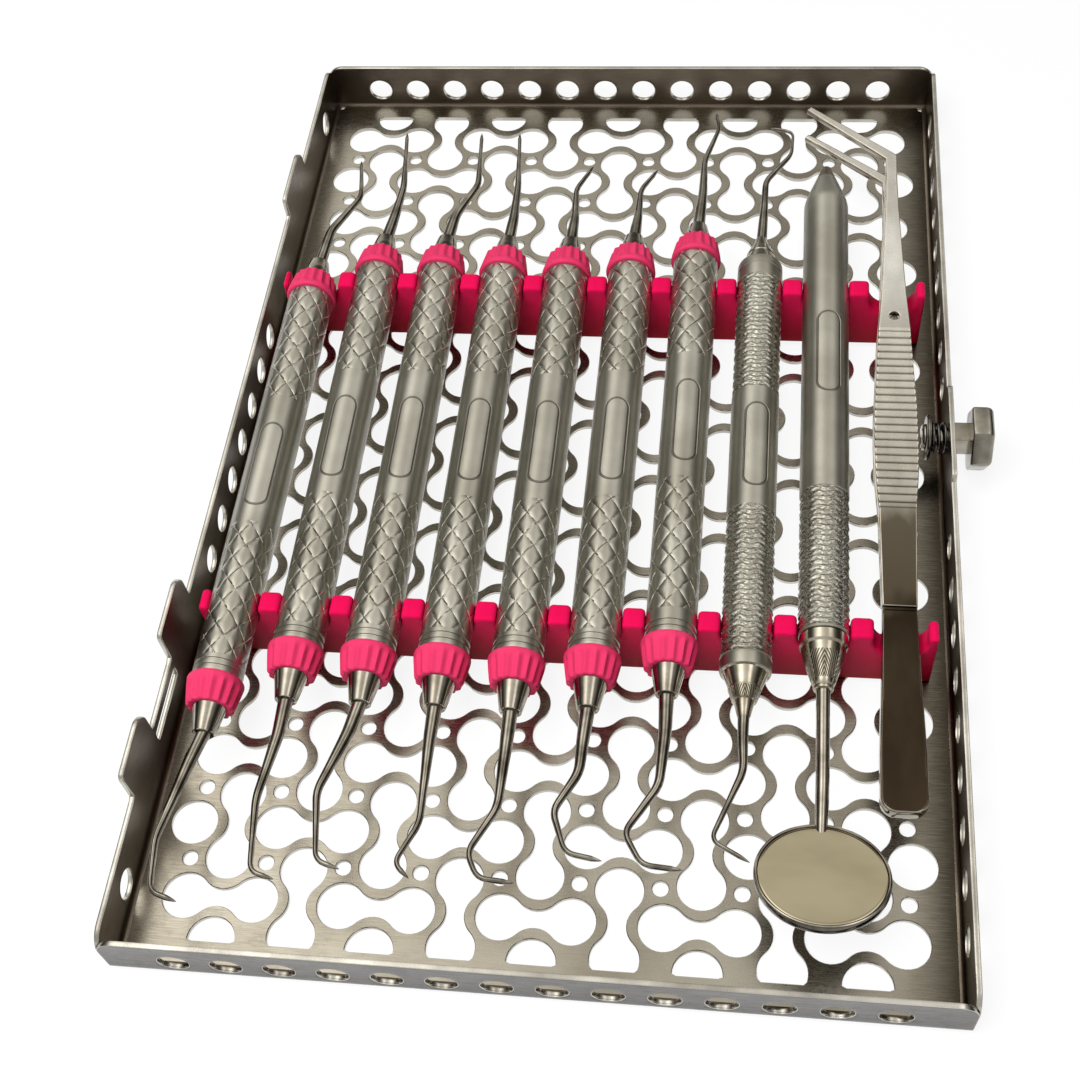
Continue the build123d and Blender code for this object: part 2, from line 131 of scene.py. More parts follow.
# %% Points and faces into a piece
def make_piece(name, points, faces, materials, kinds=None, turns=None, sharp=35):
    """Make a mesh object from points in millimetres and an (n, 4) array of corners.
    A face whose last two corners are the same is a triangle. kinds picks each
    face's material, turns holds a (n, 4, 2) place on the piece for its UV map."""
    mesh = bpy.data.meshes.new(name)
    three = faces[:, 2] == faces[:, 3]
    counts = np.where(three, 3, 4)
    used = np.ones(faces.shape, bool)
    used[three, 3] = False
    starts = np.concatenate([[0], np.cumsum(counts)[:-1]])
    mesh.vertices.add(len(points))
    mesh.vertices.foreach_set("co", (points * MM).astype(np.float32).ravel())
    mesh.loops.add(int(counts.sum()))
    mesh.loops.foreach_set("vertex_index", faces[used].astype(np.int32))
    mesh.polygons.add(len(faces))
    mesh.polygons.foreach_set("loop_start", starts.astype(np.int32))
    mesh.polygons.foreach_set("use_smooth", np.ones(len(faces), bool))
    if kinds is not None:
        mesh.polygons.foreach_set("material_index", kinds.astype(np.int32))
    if turns is not None:
        layer = mesh.uv_layers.new(name="turned")
        layer.data.foreach_set("uv", turns[used].astype(np.float32).ravel())
    mesh.update(calc_edges=True)
    mesh.validate()
    mesh.set_sharp_from_angle(angle=math.radians(sharp))
    for material in materials:
        mesh.materials.append(material)
    piece = bpy.data.objects.new(name, mesh)
    bpy.context.scene.collection.objects.link(piece)
    return piece


def report(piece):
    """Print what a piece measures, and how many triangles it has."""
    corners = np.array(piece.bound_box)
    size = " x ".join(f"{v / MM:.1f}" for v in corners.max(0) - corners.min(0))
    triangles = sum(len(face.vertices) - 2 for face in piece.data.polygons)
    print(f"{piece.name}: {size} mm, {triangles} triangles")


def settle(piece, body, slot, *nodes):
    """Let a piece ride on its body and stand for its nodes. slot is not used."""
    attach(piece, body)
    if nodes:
        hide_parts(*nodes)
    report(piece)
    return piece

# %% [markdown]
# ## A closed skin from a grid of points
# Turned handles, rings, tubes and arms are all one kind of surface: a closed
# outline is carried along a line of stations. The grid has one row for each
# station and one column for each point of the outline. The columns join up
# round the piece, and a point at the middle of each end row closes it.

# %% Skin over rows of outlines
def skin(name, rows, materials, row_kinds=None, places=None, sharp=35):
    """Join rows of outlines, an array (stations, outline points, 3), into a skin.
    places gives each row's place along the piece for the UV map, where the
    other number is the share of a turn round it. Ends are closed by a fan."""
    stations, around, _ = rows.shape
    i, j = np.meshgrid(np.arange(stations - 1), np.arange(around), indexing="ij")
    i, j = i.ravel(), j.ravel()
    below, above, right = i * around, (i + 1) * around, (j + 1) % around
    faces = np.stack([below + j, above + j, above + right, below + right], 1)
    along = np.arange(stations, dtype=float) if places is None else np.asarray(places, float)
    low, high = along[i], along[i + 1]
    turn = np.stack([j, j, j + 1, j + 1], 1) / around
    turns = np.stack([turn, np.stack([low, high, high, low], 1)], 2)
    kinds = np.zeros(len(faces)) if row_kinds is None else np.asarray(row_kinds)[i]

    k, after = np.arange(around), (np.arange(around) + 1) % around
    top, middles = (stations - 1) * around, stations * around
    points = np.concatenate([rows.reshape(-1, 3), [rows[0].mean(0), rows[-1].mean(0)]])
    foot = np.stack([k, after, *[np.full(around, middles)] * 2], 1)
    head = np.stack([top + after, top + k, *[np.full(around, middles + 1)] * 2], 1)
    share = np.stack([k, k + 1, k + 0.5, k + 0.5], 1) / around
    ends = np.repeat([[along[0]], [along[-1]]], around, 0) * np.ones(4)
    end_turns = np.stack([np.concatenate([share, share[:, [1, 0, 2, 3]]]), ends], 2)
    end_kinds = np.repeat([kinds[0], kinds[-1]], around)
    return make_piece(name, points, np.concatenate([faces, foot, head]), materials,
                      np.concatenate([kinds, end_kinds]), np.concatenate([turns, end_turns]), sharp)


def join(name, pieces):
    """Join pieces made apart into one, such as two rings on one handle."""
    with bpy.context.temp_override(active_object=pieces[0], object=pieces[0],
                                   selected_objects=pieces, selected_editable_objects=pieces):
        bpy.ops.object.join()
    pieces[0].name = name
    pieces[0].data.name = name
    return pieces[0]

# %% [markdown]
# ## A line with rounded corners
# A bent shank follows a few straight runs with a soft bend between them. A
# bend is a parabola between two points set back from the corner, which is the
# curve that a wire takes over a finger. Points spaced evenly along the line
# then carry the outline.

# %% Rounded path and its frames
def one_long(arrows):
    """The same directions, each made one long."""
    return arrows / np.linalg.norm(arrows, axis=-1, keepdims=True)


def rounded_path(corners, set_back, count):
    """Points spaced evenly along straight runs joined by parabolic bends.
    Each bend starts and ends set_back from its corner, or a little under half
    of the shorter run, and mixes the three points with weights (1-t)^2, 2t(1-t), t^2."""
    corners = np.asarray(corners, float)
    t = np.linspace(0, 1, 9)[:, None]
    line = [corners[:1]]
    for before, corner, after in zip(corners[:-2], corners[1:-1], corners[2:]):
        back, ahead = before - corner, after - corner
        reach = min(set_back, 0.48 * np.linalg.norm(back), 0.48 * np.linalg.norm(ahead))
        start, end = corner + one_long(back) * reach, corner + one_long(ahead) * reach
        line.append((1 - t) ** 2 * start + 2 * t * (1 - t) * corner + t ** 2 * end)
    line = np.concatenate([*line, corners[-1:]])
    steps = np.linalg.norm(np.diff(line, axis=0), axis=1)
    travelled = np.concatenate([[0], np.cumsum(steps)])
    wanted = np.linspace(0, travelled[-1], count)
    return np.stack([np.interp(wanted, travelled, line[:, k]) for k in range(3)], 1), wanted


def carry(path, across, upwards):
    """Rows of outlines carried along a path: each outline point is the path's
    point plus its across distance along the side direction (heading x up) and
    its upwards distance along the direction square to both."""
    heading = one_long(np.gradient(path, axis=0))
    side = one_long(np.cross(heading, [0.0, 0.0, 1.0]))
    rise = np.cross(side, heading)
    return path[:, None] + across[:, :, None] * side[:, None] + upwards[:, :, None] * rise[:, None]


def circle_of(radii, sides):
    """The across and upwards distances of a circle at every station."""
    angle = np.linspace(0, 2 * np.pi, sides, endpoint=False)
    return np.outer(radii, np.cos(angle)), np.outer(radii, np.sin(angle))

# %% [markdown]
# ## A sheet cut by a distance
# The floor, the walls and the racks are flat blanks full of holes. Such a
# blank could be drawn with curves and filled, or cut with booleans, which
# leave long thin faces. Here one function says how deep any point lies in the
# material, and is negative in a hole. A grid covers the blank, the squares
# whose middle lies in the material are kept, and the points along a cut slide
# down the slope of the distance onto the cut. The rim is a round of a few rows.

# %% Cut a sheet and give it a thickness
def cut_sheet(name, depth_in, blank, step, thickness, rim, place, materials, rim_rows=1, sharp=35):
    """Cut a blank to where depth_in(u, v) is positive and place it in space.
    Points along the cut move by -distance x slope, four times, and points just
    inside make room for the rim. place takes u, v and the depth below the face,
    and gives points in millimetres."""
    u_low, u_high, v_low, v_high = blank
    columns = max(2, round((u_high - u_low) / step))
    lines = max(2, round((v_high - v_low) / step))
    u, v = np.meshgrid(np.linspace(u_low, u_high, columns + 1),
                       np.linspace(v_low, v_high, lines + 1), indexing="ij")
    middle_u, middle_v = (u[:-1, :-1] + u[1:, 1:]) / 2, (v[:-1, :-1] + v[1:, 1:]) / 2
    kept = np.pad(depth_in(middle_u, middle_v) > 0, 1)
    number = np.arange(u.size).reshape(u.shape)
    square = kept[1:-1, 1:-1]
    corners = np.stack([number[:-1, :-1], number[1:, :-1], number[1:, 1:], number[:-1, 1:]], 2)
    faces = corners[square]
    edges = []
    for side, (di, dj) in enumerate([(0, -1), (1, 0), (0, 1), (-1, 0)]):
        beyond = kept[1 + di:kept.shape[0] - 1 + di, 1 + dj:kept.shape[1] - 1 + dj]
        open_side = square & ~beyond
        edges.append(np.stack([corners[open_side][:, side], corners[open_side][:, (side + 1) % 4]], 1))
    edges = np.concatenate(edges)
    on_rim = np.unique(edges)
    u, v = u.ravel().copy(), v.ravel().copy()

    def slope(a, b):
        """Slope of the distance by small steps, made one long."""
        h = step / 50
        du = (depth_in(a + h, b) - depth_in(a - h, b)) / (2 * h)
        dv = (depth_in(a, b + h) - depth_in(a, b - h)) / (2 * h)
        length = np.maximum(np.hypot(du, dv), 1e-6)
        return du / length, dv / length

    inner = np.setdiff1d(np.unique(faces), on_rim)
    margin = 1.5 * rim + 0.1 * step
    near = inner[depth_in(u[inner], v[inner]) < margin]
    shift = margin - depth_in(u[near], v[near])
    du, dv = slope(u[near], v[near])
    u[near] += shift * du
    v[near] += shift * dv
    for _ in range(4):
        away = np.clip(depth_in(u[on_rim], v[on_rim]), -step, step)
        du, dv = slope(u[on_rim], v[on_rim])
        u[on_rim] -= away * du
        v[on_rim] -= away * dv
    du, dv = slope(u[on_rim], v[on_rim])

    turn = np.linspace(0, np.pi / 2, rim_rows + 1)
    inset, sunk = rim * (1 - np.sin(turn)), rim * (1 - np.cos(turn))
    inset = np.concatenate([inset, inset[::-1]])
    sunk = np.concatenate([sunk, thickness - sunk[::-1]])
    used = np.unique(faces)
    face_u, face_v = u.copy(), v.copy()
    face_u[on_rim] += rim * du
    face_v[on_rim] += rim * dv
    renumber = np.full(u.size, -1)
    renumber[used] = np.arange(len(used))
    top = place(face_u[used], face_v[used], np.zeros(len(used)))
    bottom = place(face_u[used], face_v[used], np.full(len(used), thickness))
    points, rows = [top, bottom], [renumber[on_rim]]
    count = 2 * len(used)
    for push, drop in zip(inset[1:-1], sunk[1:-1]):
        points.append(place(u[on_rim] + push * du, v[on_rim] + push * dv, np.full(len(on_rim), drop)))
        rows.append(count + np.arange(len(on_rim)))
        count += len(on_rim)
    rows.append(renumber[on_rim] + len(used))
    start, end = np.searchsorted(on_rim, edges[:, 0]), np.searchsorted(on_rim, edges[:, 1])
    walls = [np.stack([above[end], above[start], below[start], below[end]], 1)
             for above, below in zip(rows[:-1], rows[1:])]
    top_faces = renumber[faces]
    bottom_faces = (renumber[faces] + len(used))[:, ::-1]
    faces = np.concatenate([top_faces, bottom_faces, *walls])
    kinds = np.concatenate([np.zeros(len(top_faces)), np.full(len(bottom_faces), 1),
                            np.full(sum(map(len, walls)), 2)])
    return make_piece(name, np.concatenate(points), faces, materials, kinds, sharp=sharp)


def round_box(u, v, half_u, half_v, radius):
    """Depth inside a rectangle with round corners, centred on (0, 0)."""
    over_u, over_v = np.abs(u) - half_u + radius, np.abs(v) - half_v + radius
    outside = np.hypot(np.maximum(over_u, 0), np.maximum(over_v, 0))
    return radius - outside - np.minimum(np.maximum(over_u, over_v), 0)


def round_top(u, v, half_u, top, radius):
    """Depth below a top edge with round corners: a round box whose foot is far below."""
    far = 40
    return round_box(u, v - (top - far), half_u, far, radius)


def clear_of(u, v, centre_u, centre_v, radius):
    """Depth in the metal beside a round hole."""
    return np.hypot(u - centre_u, v - centre_v) - radius

# %% [markdown]
# ## Finishes
# A finish is a small network of nodes on top of one shader. It could be a
# picture wrapped on the piece, but steel and silicone are easy to describe
# in numbers: brushing is noise stretched along one direction, and it changes
# the roughness and the height a little. Colours are written as they would be
# mixed on a screen, and one function turns them to the linear light values.

# %% Helpers for node networks
def tone(red, green, blue):
    """Linear colour from screen values 0 to 255: ((c/255 + 0.055)/1.055)^2.4."""
    c = np.array([red, green, blue]) / 255
    linear = np.where(c <= 0.04045, c / 12.92, ((c + 0.055) / 1.055) ** 2.4)
    return (*[float(v) for v in linear], 1.0)


X_AXIS, Y_AXIS, Z_AXIS = range(3)


class Network:
    """The nodes of one material or world, and short ways to add to them."""

    def __init__(self, owner):
        owner.use_nodes = True
        self.nodes, self.links = owner.node_tree.nodes, owner.node_tree.links

    def add(self, kind, **settings):
        """A new node of a kind, with its settings."""
        node = self.nodes.new("ShaderNode" + kind)
        for key, value in settings.items():
            setattr(node, key, value)
        return node

    def plug(self, value, socket):
        """Link an output to a socket, or set the socket to a number or colour."""
        if isinstance(value, bpy.types.NodeSocket):
            self.links.new(value, socket)
        else:
            socket.default_value = value

    def fill(self, node, *values):
        """Plug values into a node's first sockets, and give its first output."""
        for value, socket in zip(values, node.inputs):
            self.plug(value, socket)
        return node.outputs[0]

    def math(self, operation, *values, clamp=False):
        """The result of one operation on one, two or three values."""
        return self.fill(self.add("Math", operation=operation, use_clamp=clamp), *values)

    def mix(self, share, first, second, blend="MIX"):
        """The first colour where share is zero, and the second, blended, where it is one."""
        node = self.add("Mix", data_type="RGBA", blend_type=blend)
        for value, number in ((share, 0), (first, 6), (second, 7)):
            self.plug(value, node.inputs[number])
        return node.outputs[2]

    def axes(self, where):
        """The three numbers of a place or a direction."""
        node = self.add("SeparateXYZ")
        self.links.new(where, node.inputs[0])
        return node.outputs

    def mix_shaders(self, share, first, second):
        """The first shader where share is zero and the second where it is one."""
        return self.fill(self.add("MixShader"), share, first, second)


class Finish(Network):
    """A material being wired up, with its shader."""

    def __init__(self, name, color, metallic, roughness):
        self.material = bpy.data.materials.new(name)
        super().__init__(self.material)
        self.shader = self.nodes["Principled BSDF"]
        self.set_shader({"Base Color": color, "Metallic": metallic, "Roughness": roughness})

    def set_shader(self, values):
        """Set or link sockets of the shader by their names."""
        for socket, value in values.items():
            self.plug(value, self.shader.inputs[socket])

    def place(self, scale=(1, 1, 1), turn=(0, 0, 0)):
        """Object coordinates in millimetres, stretched by scale."""
        where = self.add("TexCoord").outputs["Object"]
        mapping = self.add("Mapping")
        mapping.inputs["Scale"].default_value = [s / MM for s in scale]
        mapping.inputs["Rotation"].default_value = [math.radians(t) for t in turn]
        self.links.new(where, mapping.inputs["Vector"])
        return mapping.outputs["Vector"]

    def noise(self, where, size, detail=2.0, rough=0.5):
        """Noise whose blotches are about size millimetres across."""
        node = self.add("TexNoise")
        settings = {"Scale": 1 / size, "Detail": detail, "Roughness": rough, "Vector": where}
        for socket, value in settings.items():
            self.plug(value, node.inputs[socket])
        return node.outputs["Fac"]

    def spread(self, value, low, high, to_low, to_high):
        """Stretch a range of values onto another, with clamped ends."""
        return self.fill(self.add("MapRange"), value, low, high, to_low, to_high)

    def bump(self, height, strength, depth, before=None):
        """Tilt the surface as if height stood depth millimetres high."""
        node = self.add("Bump")
        node.inputs["Strength"].default_value = strength
        node.inputs["Distance"].default_value = depth * MM
        self.plug(height, node.inputs["Height"])
        if before is not None:
            self.links.new(before, node.inputs["Normal"])
        self.links.new(node.outputs[0], self.shader.inputs["Normal"])
        return node.outputs[0]

    def turned_place(self):
        """The piece's own map: the share of a turn round it, and millimetres along it."""
        return self.axes(self.add("UVMap", uv_map="turned").outputs[0])[:2]

    def dress(self, color, roughness):
        """Link the shader's colour and roughness, and say that the finish is ready."""
        self.set_shader({"Base Color": color, "Roughness": roughness})
        print(self.material.name, "is ready")
        return self.material


def rolled_steel(name, light, dark, low, high, brushing, blotch=26, painted_shading=()):
    """Stainless sheet: fine brushing stretched along one direction changes its
    height and roughness, slow blotches mix a light and a dark tone, and small
    water spots dull it here and there. Each entry of painted shading is an axis,
    the places where the sheet starts and ends turning to another tone, and that
    tone, which is painted shade."""
    finish = Finish(name, light, 1.0, (low + high) / 2)
    fine = finish.noise(finish.place(brushing), 0.16, 3.0, 0.6)
    slow = finish.noise(finish.place(), blotch, 3.0, 0.55)
    spots = finish.noise(finish.place(), 2.2, 4.0, 0.65)
    cloudy = finish.spread(slow, 0.32, 0.68, 0.0, 1.0)
    streaky = finish.spread(fine, 0.3, 0.7, -0.16, 0.16)
    share = finish.math("ADD", cloudy, streaky, clamp=True)
    color = finish.mix(share, light, dark)
    # Painted shade: each entry mixes the sheet towards its own tone along one axis.
    for axis, start, end, painted_tone in painted_shading:
        ragged = finish.math("MULTIPLY", streaky, (end - start) * 0.8)
        out = finish.math("ADD", finish.axes(finish.place())[axis], ragged)
        color = finish.mix(finish.spread(out, start, end, 0.0, 1.0), color, painted_tone)
    dull = finish.spread(spots, 0.5, 0.75, 0.0, 0.1)
    rough = finish.spread(fine, 0.25, 0.75, low, high)
    finish.bump(fine, 0.16, 0.03)
    return finish.dress(color, finish.math("ADD", rough, dull))

# %% [markdown]
# ## Sheet steel of the tray
# The tray is one stainless sheet, rolled, punched, folded and tumbled. Inside
# the folds it is painted dark and brown, as painted shade, because there it
# mirrors only itself. The outside faces are cooler and are painted darker
# towards the table, as painted shade, and the punched rims are painted light,
# as a painted highlight of a thin bright line. The floor is painted dark beside
# the right wall and an even grey beside the left, as painted shade. Each face
# could have its own recipe, but four finishes from one recipe read as one metal.

# %% Tray finishes
BRUSHED_ALONG_X, BRUSHED_FLAT, UNBRUSHED = (0.05, 1, 1), (0.04, 0.04, 1), (1, 1, 1)
# Painted shade: the floor turns dark beside the right wall and an even grey beside the left wall.
floor_steel = rolled_steel(
    "floor_steel", tone(166, 161, 148), tone(138, 132, 119), 0.2, 0.34, BRUSHED_ALONG_X,
    painted_shading=[(X_AXIS, 58.5, 66.0, tone(78, 72, 62)), (X_AXIS, -59.5, -66.0, tone(150, 144, 131))])
# Painted shade: the inner faces of the walls are a darker, browner copy of the sheet, standing in for the
# dark they mirror.
inner_wall_shaded_steel = rolled_steel(
    "inner_wall_shaded_steel", tone(120, 109, 96), tone(88, 79, 69), 0.28, 0.4, BRUSHED_FLAT)
# Painted shade: the outer faces turn darker towards the table.
outer_wall_steel = rolled_steel(
    "outer_wall_steel", tone(138, 136, 132), tone(104, 102, 100), 0.22, 0.36, BRUSHED_FLAT,
    painted_shading=[(Z_AXIS, 14.0, 1.0, tone(84, 82, 80))])
# Painted highlight: the punched and folded rims are a lighter copy of the sheet, for the thin bright line
# they catch.
rim_highlight_steel = rolled_steel(
    "rim_highlight_steel", tone(206, 203, 194), tone(158, 154, 145), 0.16, 0.28, UNBRUSHED, blotch=9)

# %% [markdown]
# ## Bright steel
# Shanks, sockets and the latch are polished. A polished cylinder shows the
# room as long light and dark bands, so its finish is smooth, and only fine
# lengthwise polishing marks and faint stains break the bands up. The tips are
# painted a little darker, as painted shade for the dark they mirror, the tail of
# the mirror's handle is browned, and the spring's wire is the darkest. Each could
# be mixed anew, but they differ only in their two tones and their gloss, so one
# function makes them all.

# %% Polished finishes
def polished_steel(name, light, dark, low, high):
    """Polished steel: faint polishing marks along Y, and a slow change of tone and gloss."""
    finish = Finish(name, light, 1.0, low)
    slow = finish.noise(finish.place(), 5.0, 3.0, 0.6)
    finish.bump(finish.noise(finish.place((1, 0.06, 1)), 0.12, 2.0), 0.1, 0.02)
    return finish.dress(finish.mix(finish.spread(slow, 0.35, 0.7, 0.0, 1.0), light, dark),
                        finish.spread(slow, 0.3, 0.7, low, high))


bright_steel = polished_steel("bright_steel", tone(178, 172, 160), tone(134, 127, 113), 0.05, 0.12)
# Painted shade: a darker copy of the bright steel, for the mirror's cup, the washer and the guide pin.
shaded_bright_steel = polished_steel("shaded_bright_steel", tone(120, 116, 108), tone(70, 66, 62), 0.12, 0.22)
# Painted shade: the tips are a darker copy of the bright steel.
tip_shaded_steel = polished_steel("tip_shaded_steel", tone(152, 147, 135), tone(94, 88, 78), 0.05, 0.12)
burnt_steel = polished_steel("burnt_steel", tone(144, 126, 108), tone(96, 81, 68), 0.3, 0.42)
knob_steel = polished_steel("knob_steel", tone(160, 156, 145), tone(118, 113, 102), 0.16, 0.28)
spring_wire = polished_steel("spring_wire", tone(112, 110, 106), tone(66, 64, 62), 0.14, 0.26)

# %% [markdown]
# ## Grips
# The seven scalers have a criss-cross of rolled grooves at both ends of the
# grip. The grooves could be cut in the mesh, but they are a few tenths of a
# millimetre wide, which would take a very fine grid. So the finish works on
# the piece's own map. Two sets of lines wind the opposite way round, and the
# height falls where a point is near a line. Between the zones an oval groove
# frames a bare patch. The explorer and the mirror have stacked rings instead,
# which are in their meshes, and their finish only adds the fine cuts between.

# %% Handle finishes
def frame_groove(finish, turn, along, facing, middle, half, radius):
    """A thin oval groove: the distance to a straight run along the handle,
    less the oval's radius, is near zero on the groove."""
    past = finish.math("SUBTRACT", finish.math("ABSOLUTE", finish.math("SUBTRACT", along, middle)), half)
    past = finish.math("MAXIMUM", past, 0.0)
    off = finish.math("MULTIPLY", finish.math("SUBTRACT", turn, facing), 2 * math.pi * GRIP_RADIUS)
    squares = finish.math("ADD", finish.math("POWER", past, 2.0), finish.math("MULTIPLY", off, off))
    near = finish.math("ABSOLUTE", finish.math("SUBTRACT", finish.math("SQRT", squares), radius))
    return finish.spread(near, 0.08, 0.24, 1.0, 0.0)


def zone(finish, along, starts_ends):
    """One inside any of the stretches along the handle, and zero outside."""
    total = None
    for start, end in starts_ends:
        inside = finish.math("MULTIPLY", finish.math("GREATER_THAN", along, start),
                             finish.math("LESS_THAN", along, end))
        total = inside if total is None else finish.math("ADD", total, inside)
    return total


def grip_finish(name, zones, pattern, oval, groove_tone_and_glint, knurl_gloss=0.0):
    """Satin handle steel with a rolled pattern in its zones. pattern gives the
    groove depth, from 0 on the land to 1 in the groove, from the piece's map.
    oval gives the frame's turn, middle, half run and radius on that map.
    The groove tone is how much the grooves take on their own colour, and that colour, which for the scalers
    is a painted highlight, the glint of their grooves.
    knurl_gloss is how much smoother than satin the zones are."""
    light, dark, frame_tone = tone(184, 182, 171), tone(162, 159, 147), tone(84, 78, 64)
    finish = Finish(name, light, 1.0, 0.3)
    turn, along = finish.turned_place()
    fine = finish.noise(finish.place((1, 0.15, 1)), 0.14, 2.0)
    slow = finish.noise(finish.place(), 11.0, 3.0)
    in_zone = zone(finish, along, zones)
    groove = finish.math("MULTIPLY", pattern(finish, turn, along), in_zone)
    frame = frame_groove(finish, turn, along, *oval)
    color = finish.mix(finish.spread(slow, 0.35, 0.65, 0.0, 1.0), light, dark)
    color = finish.mix(finish.math("MULTIPLY", groove, groove_tone_and_glint[0]), color, groove_tone_and_glint[1])
    color = finish.mix(finish.math("MULTIPLY", frame, 0.6), color, frame_tone)
    satin = finish.spread(fine, 0.3, 0.7, 0.34, 0.44)
    gloss = finish.math("MAXIMUM", finish.math("MULTIPLY", in_zone, knurl_gloss),
                        finish.math("MULTIPLY", groove, 0.24))
    low = finish.bump(fine, 0.12, 0.02)
    finish.bump(finish.math("SUBTRACT", 1.0, finish.math("MAXIMUM", groove, frame)), 1.0, 0.22, before=low)
    return finish.dress(color, finish.math("SUBTRACT", satin, gloss))


LINES_ROUND, LINE_PITCH = 7.0, 4.7


def crossed_lines(finish, turn, along):
    """Groove depth of two sets of lines that wind opposite ways: each line is
    where turns x 7 +- millimetres / 4.7 is halfway between whole numbers. Each
    line fades and comes back along its run, and each lozenge between four lines
    is a low cushion, so the pattern glints in short, uneven strokes, by its bumps
    and by the painted highlight tone that the grooves take on."""
    depth, nearest = None, None
    for sign in (1, -1):
        phase = finish.math("ADD", finish.math("MULTIPLY", turn, LINES_ROUND),
                            finish.math("MULTIPLY", along, sign / LINE_PITCH))
        near = finish.math("ABSOLUTE", finish.math("SUBTRACT", finish.math("FRACT", phase), 0.5))
        ragged = finish.spread(finish.noise(finish.place(), 1.1, 2.0), 0.3, 0.7, -0.015, 0.015)
        patchy = finish.noise(finish.place((1, 1, 1), (0, 0, 40.0 * sign)), 1.5, 1.0)
        line = finish.spread(finish.math("ADD", near, ragged), 0.0, 0.075, 1.0, 0.0)
        line = finish.math("MULTIPLY", line, finish.spread(patchy, 0.36, 0.56, 0.25, 1.0))
        depth = line if depth is None else finish.math("MAXIMUM", depth, line)
        nearest = near if nearest is None else finish.math("MINIMUM", nearest, near)
    cushion = finish.math("POWER", finish.spread(nearest, 0.0, 0.34, 1.0, 0.0), 2.0)
    return finish.math("MAXIMUM", depth, finish.math("MULTIPLY", cushion, 0.5))


def fine_scratches(finish, *_):
    """Fine uneven cuts between the modelled rings: noise squeezed along the handle."""
    return finish.spread(finish.noise(finish.place((1, 3, 1)), 0.8, 2.0, 0.5), 0.5, 0.7, 0.0, 0.35)


scaler_zones = [(-41.2, -13.5), (15.8, 44.0)]
explorer_zones = [(-44.0, -14.3), (12.7, 41.5)]
mirror_zones = [(-44.0, -15.2)]
FACING, OVAL_RADIUS = 0.235, 2.2
# Painted highlight: the scalers' grooves are mixed towards a light tone for their glints.
painted_glint_line, dull_line = (0.3, tone(216, 212, 198)), (0.3, tone(130, 122, 106))
scaler_grip_steel = grip_finish("scaler_grip_steel", scaler_zones, crossed_lines,
                                (FACING, -0.4, 7.2, OVAL_RADIUS), painted_glint_line)
explorer_grip_steel = grip_finish("explorer_grip_steel", explorer_zones, fine_scratches,
                                  (FACING, -0.8, 7.2, OVAL_RADIUS), dull_line, 0.18)
mirror_grip_steel = grip_finish("mirror_grip_steel", mirror_zones, fine_scratches,
                                (FACING, 16.2, 7.6, OVAL_RADIUS), dull_line, 0.18)

# %% [markdown]
# ## A band of fine lines on the sockets
# The explorer's and the mirror's polished sockets each carry a narrow band of
# slanting lines that meet like a row of arrowheads. They could be cut in the
# mesh too, but they are as fine as the grooves, so the same map serves. The
# slant turns back on itself at each arrowhead, which a ping-pong makes.

# %% Socket finish
def socket_finish(name, band):
    """Polished cone with a band of slanted lines between two places along it."""
    light, dark, line_tone = tone(196, 189, 172), tone(136, 127, 108), tone(60, 54, 44)
    finish = Finish(name, light, 1.0, 0.13)
    turn, along = finish.turned_place()
    slant = finish.math("PINGPONG", finish.math("MULTIPLY", turn, 8.0), 1.0)
    phase = finish.math("ADD", finish.math("MULTIPLY", slant, 5.0), finish.math("MULTIPLY", along, 1.1))
    near = finish.math("ABSOLUTE", finish.math("SUBTRACT", finish.math("FRACT", phase), 0.5))
    line = finish.math("MULTIPLY", finish.spread(near, 0.12, 0.3, 1.0, 0.0), zone(finish, along, [band]))
    slow = finish.noise(finish.place(), 4.0, 3.0)
    base = finish.mix(finish.spread(slow, 0.35, 0.7, 0.0, 1.0), light, dark)
    finish.bump(finish.math("SUBTRACT", 1.0, line), 0.8, 0.14)
    return finish.dress(finish.mix(finish.math("MULTIPLY", line, 0.7), base, line_tone),
                        finish.spread(slow, 0.3, 0.7, 0.1, 0.22))


explorer_socket_steel = socket_finish("explorer_socket_steel", (-51.7, -49.8))
mirror_socket_steel = socket_finish("mirror_socket_steel", (-52.9, -48.3))

# %% [markdown]
# ## Silicone
# The racks and the grip rings are moulded silicone, matt and slightly waxy.
# Silicone lets a little light in, so its edges look lighter and pinker than
# its depths, which a little subsurface light gives. A painted shade, dark low
# down and light high up, a slow change of tone, a soft sheen and a very fine
# grain finish it. The racks are painted darker towards the floor, as painted shade.

# %% Silicone finishes
def silicone(name, light, shaded_tone, low_z, high_z, rough):
    """Dyed silicone with grain, and painted shade: a darker tone at the bottom and the light tone at the top.
    """
    finish = Finish(name, light, 0.0, rough)
    # Painted shade: darker at the bottom, lighter at the top.
    height = finish.spread(finish.axes(finish.place())[Z_AXIS], low_z, high_z, 0.0, 1.0)
    cloud = finish.spread(finish.noise(finish.place(), 6.0, 3.0), 0.3, 0.7, -0.07, 0.07)
    grain = finish.noise(finish.place(), 0.25, 3.0, 0.6)
    finish.bump(grain, 0.12, 0.04)
    finish.set_shader({"Specular IOR Level": 0.14, "Subsurface Weight": 0.12,
                       "Subsurface Radius": (0.9, 0.25, 0.3), "Subsurface Scale": 1.5 * MM})
    return finish.dress(finish.mix(finish.math("ADD", height, cloud, clamp=True), shaded_tone, light),
                        finish.spread(grain, 0.3, 0.7, rough - 0.06, rough + 0.08))


rack_silicone = silicone("rack_silicone", tone(208, 14, 76), tone(148, 0, 28), 2.0, 15.5, 0.55)
ring_silicone = silicone("ring_silicone", tone(210, 56, 98), tone(184, 32, 76), 9.0, 18.0, 0.55)

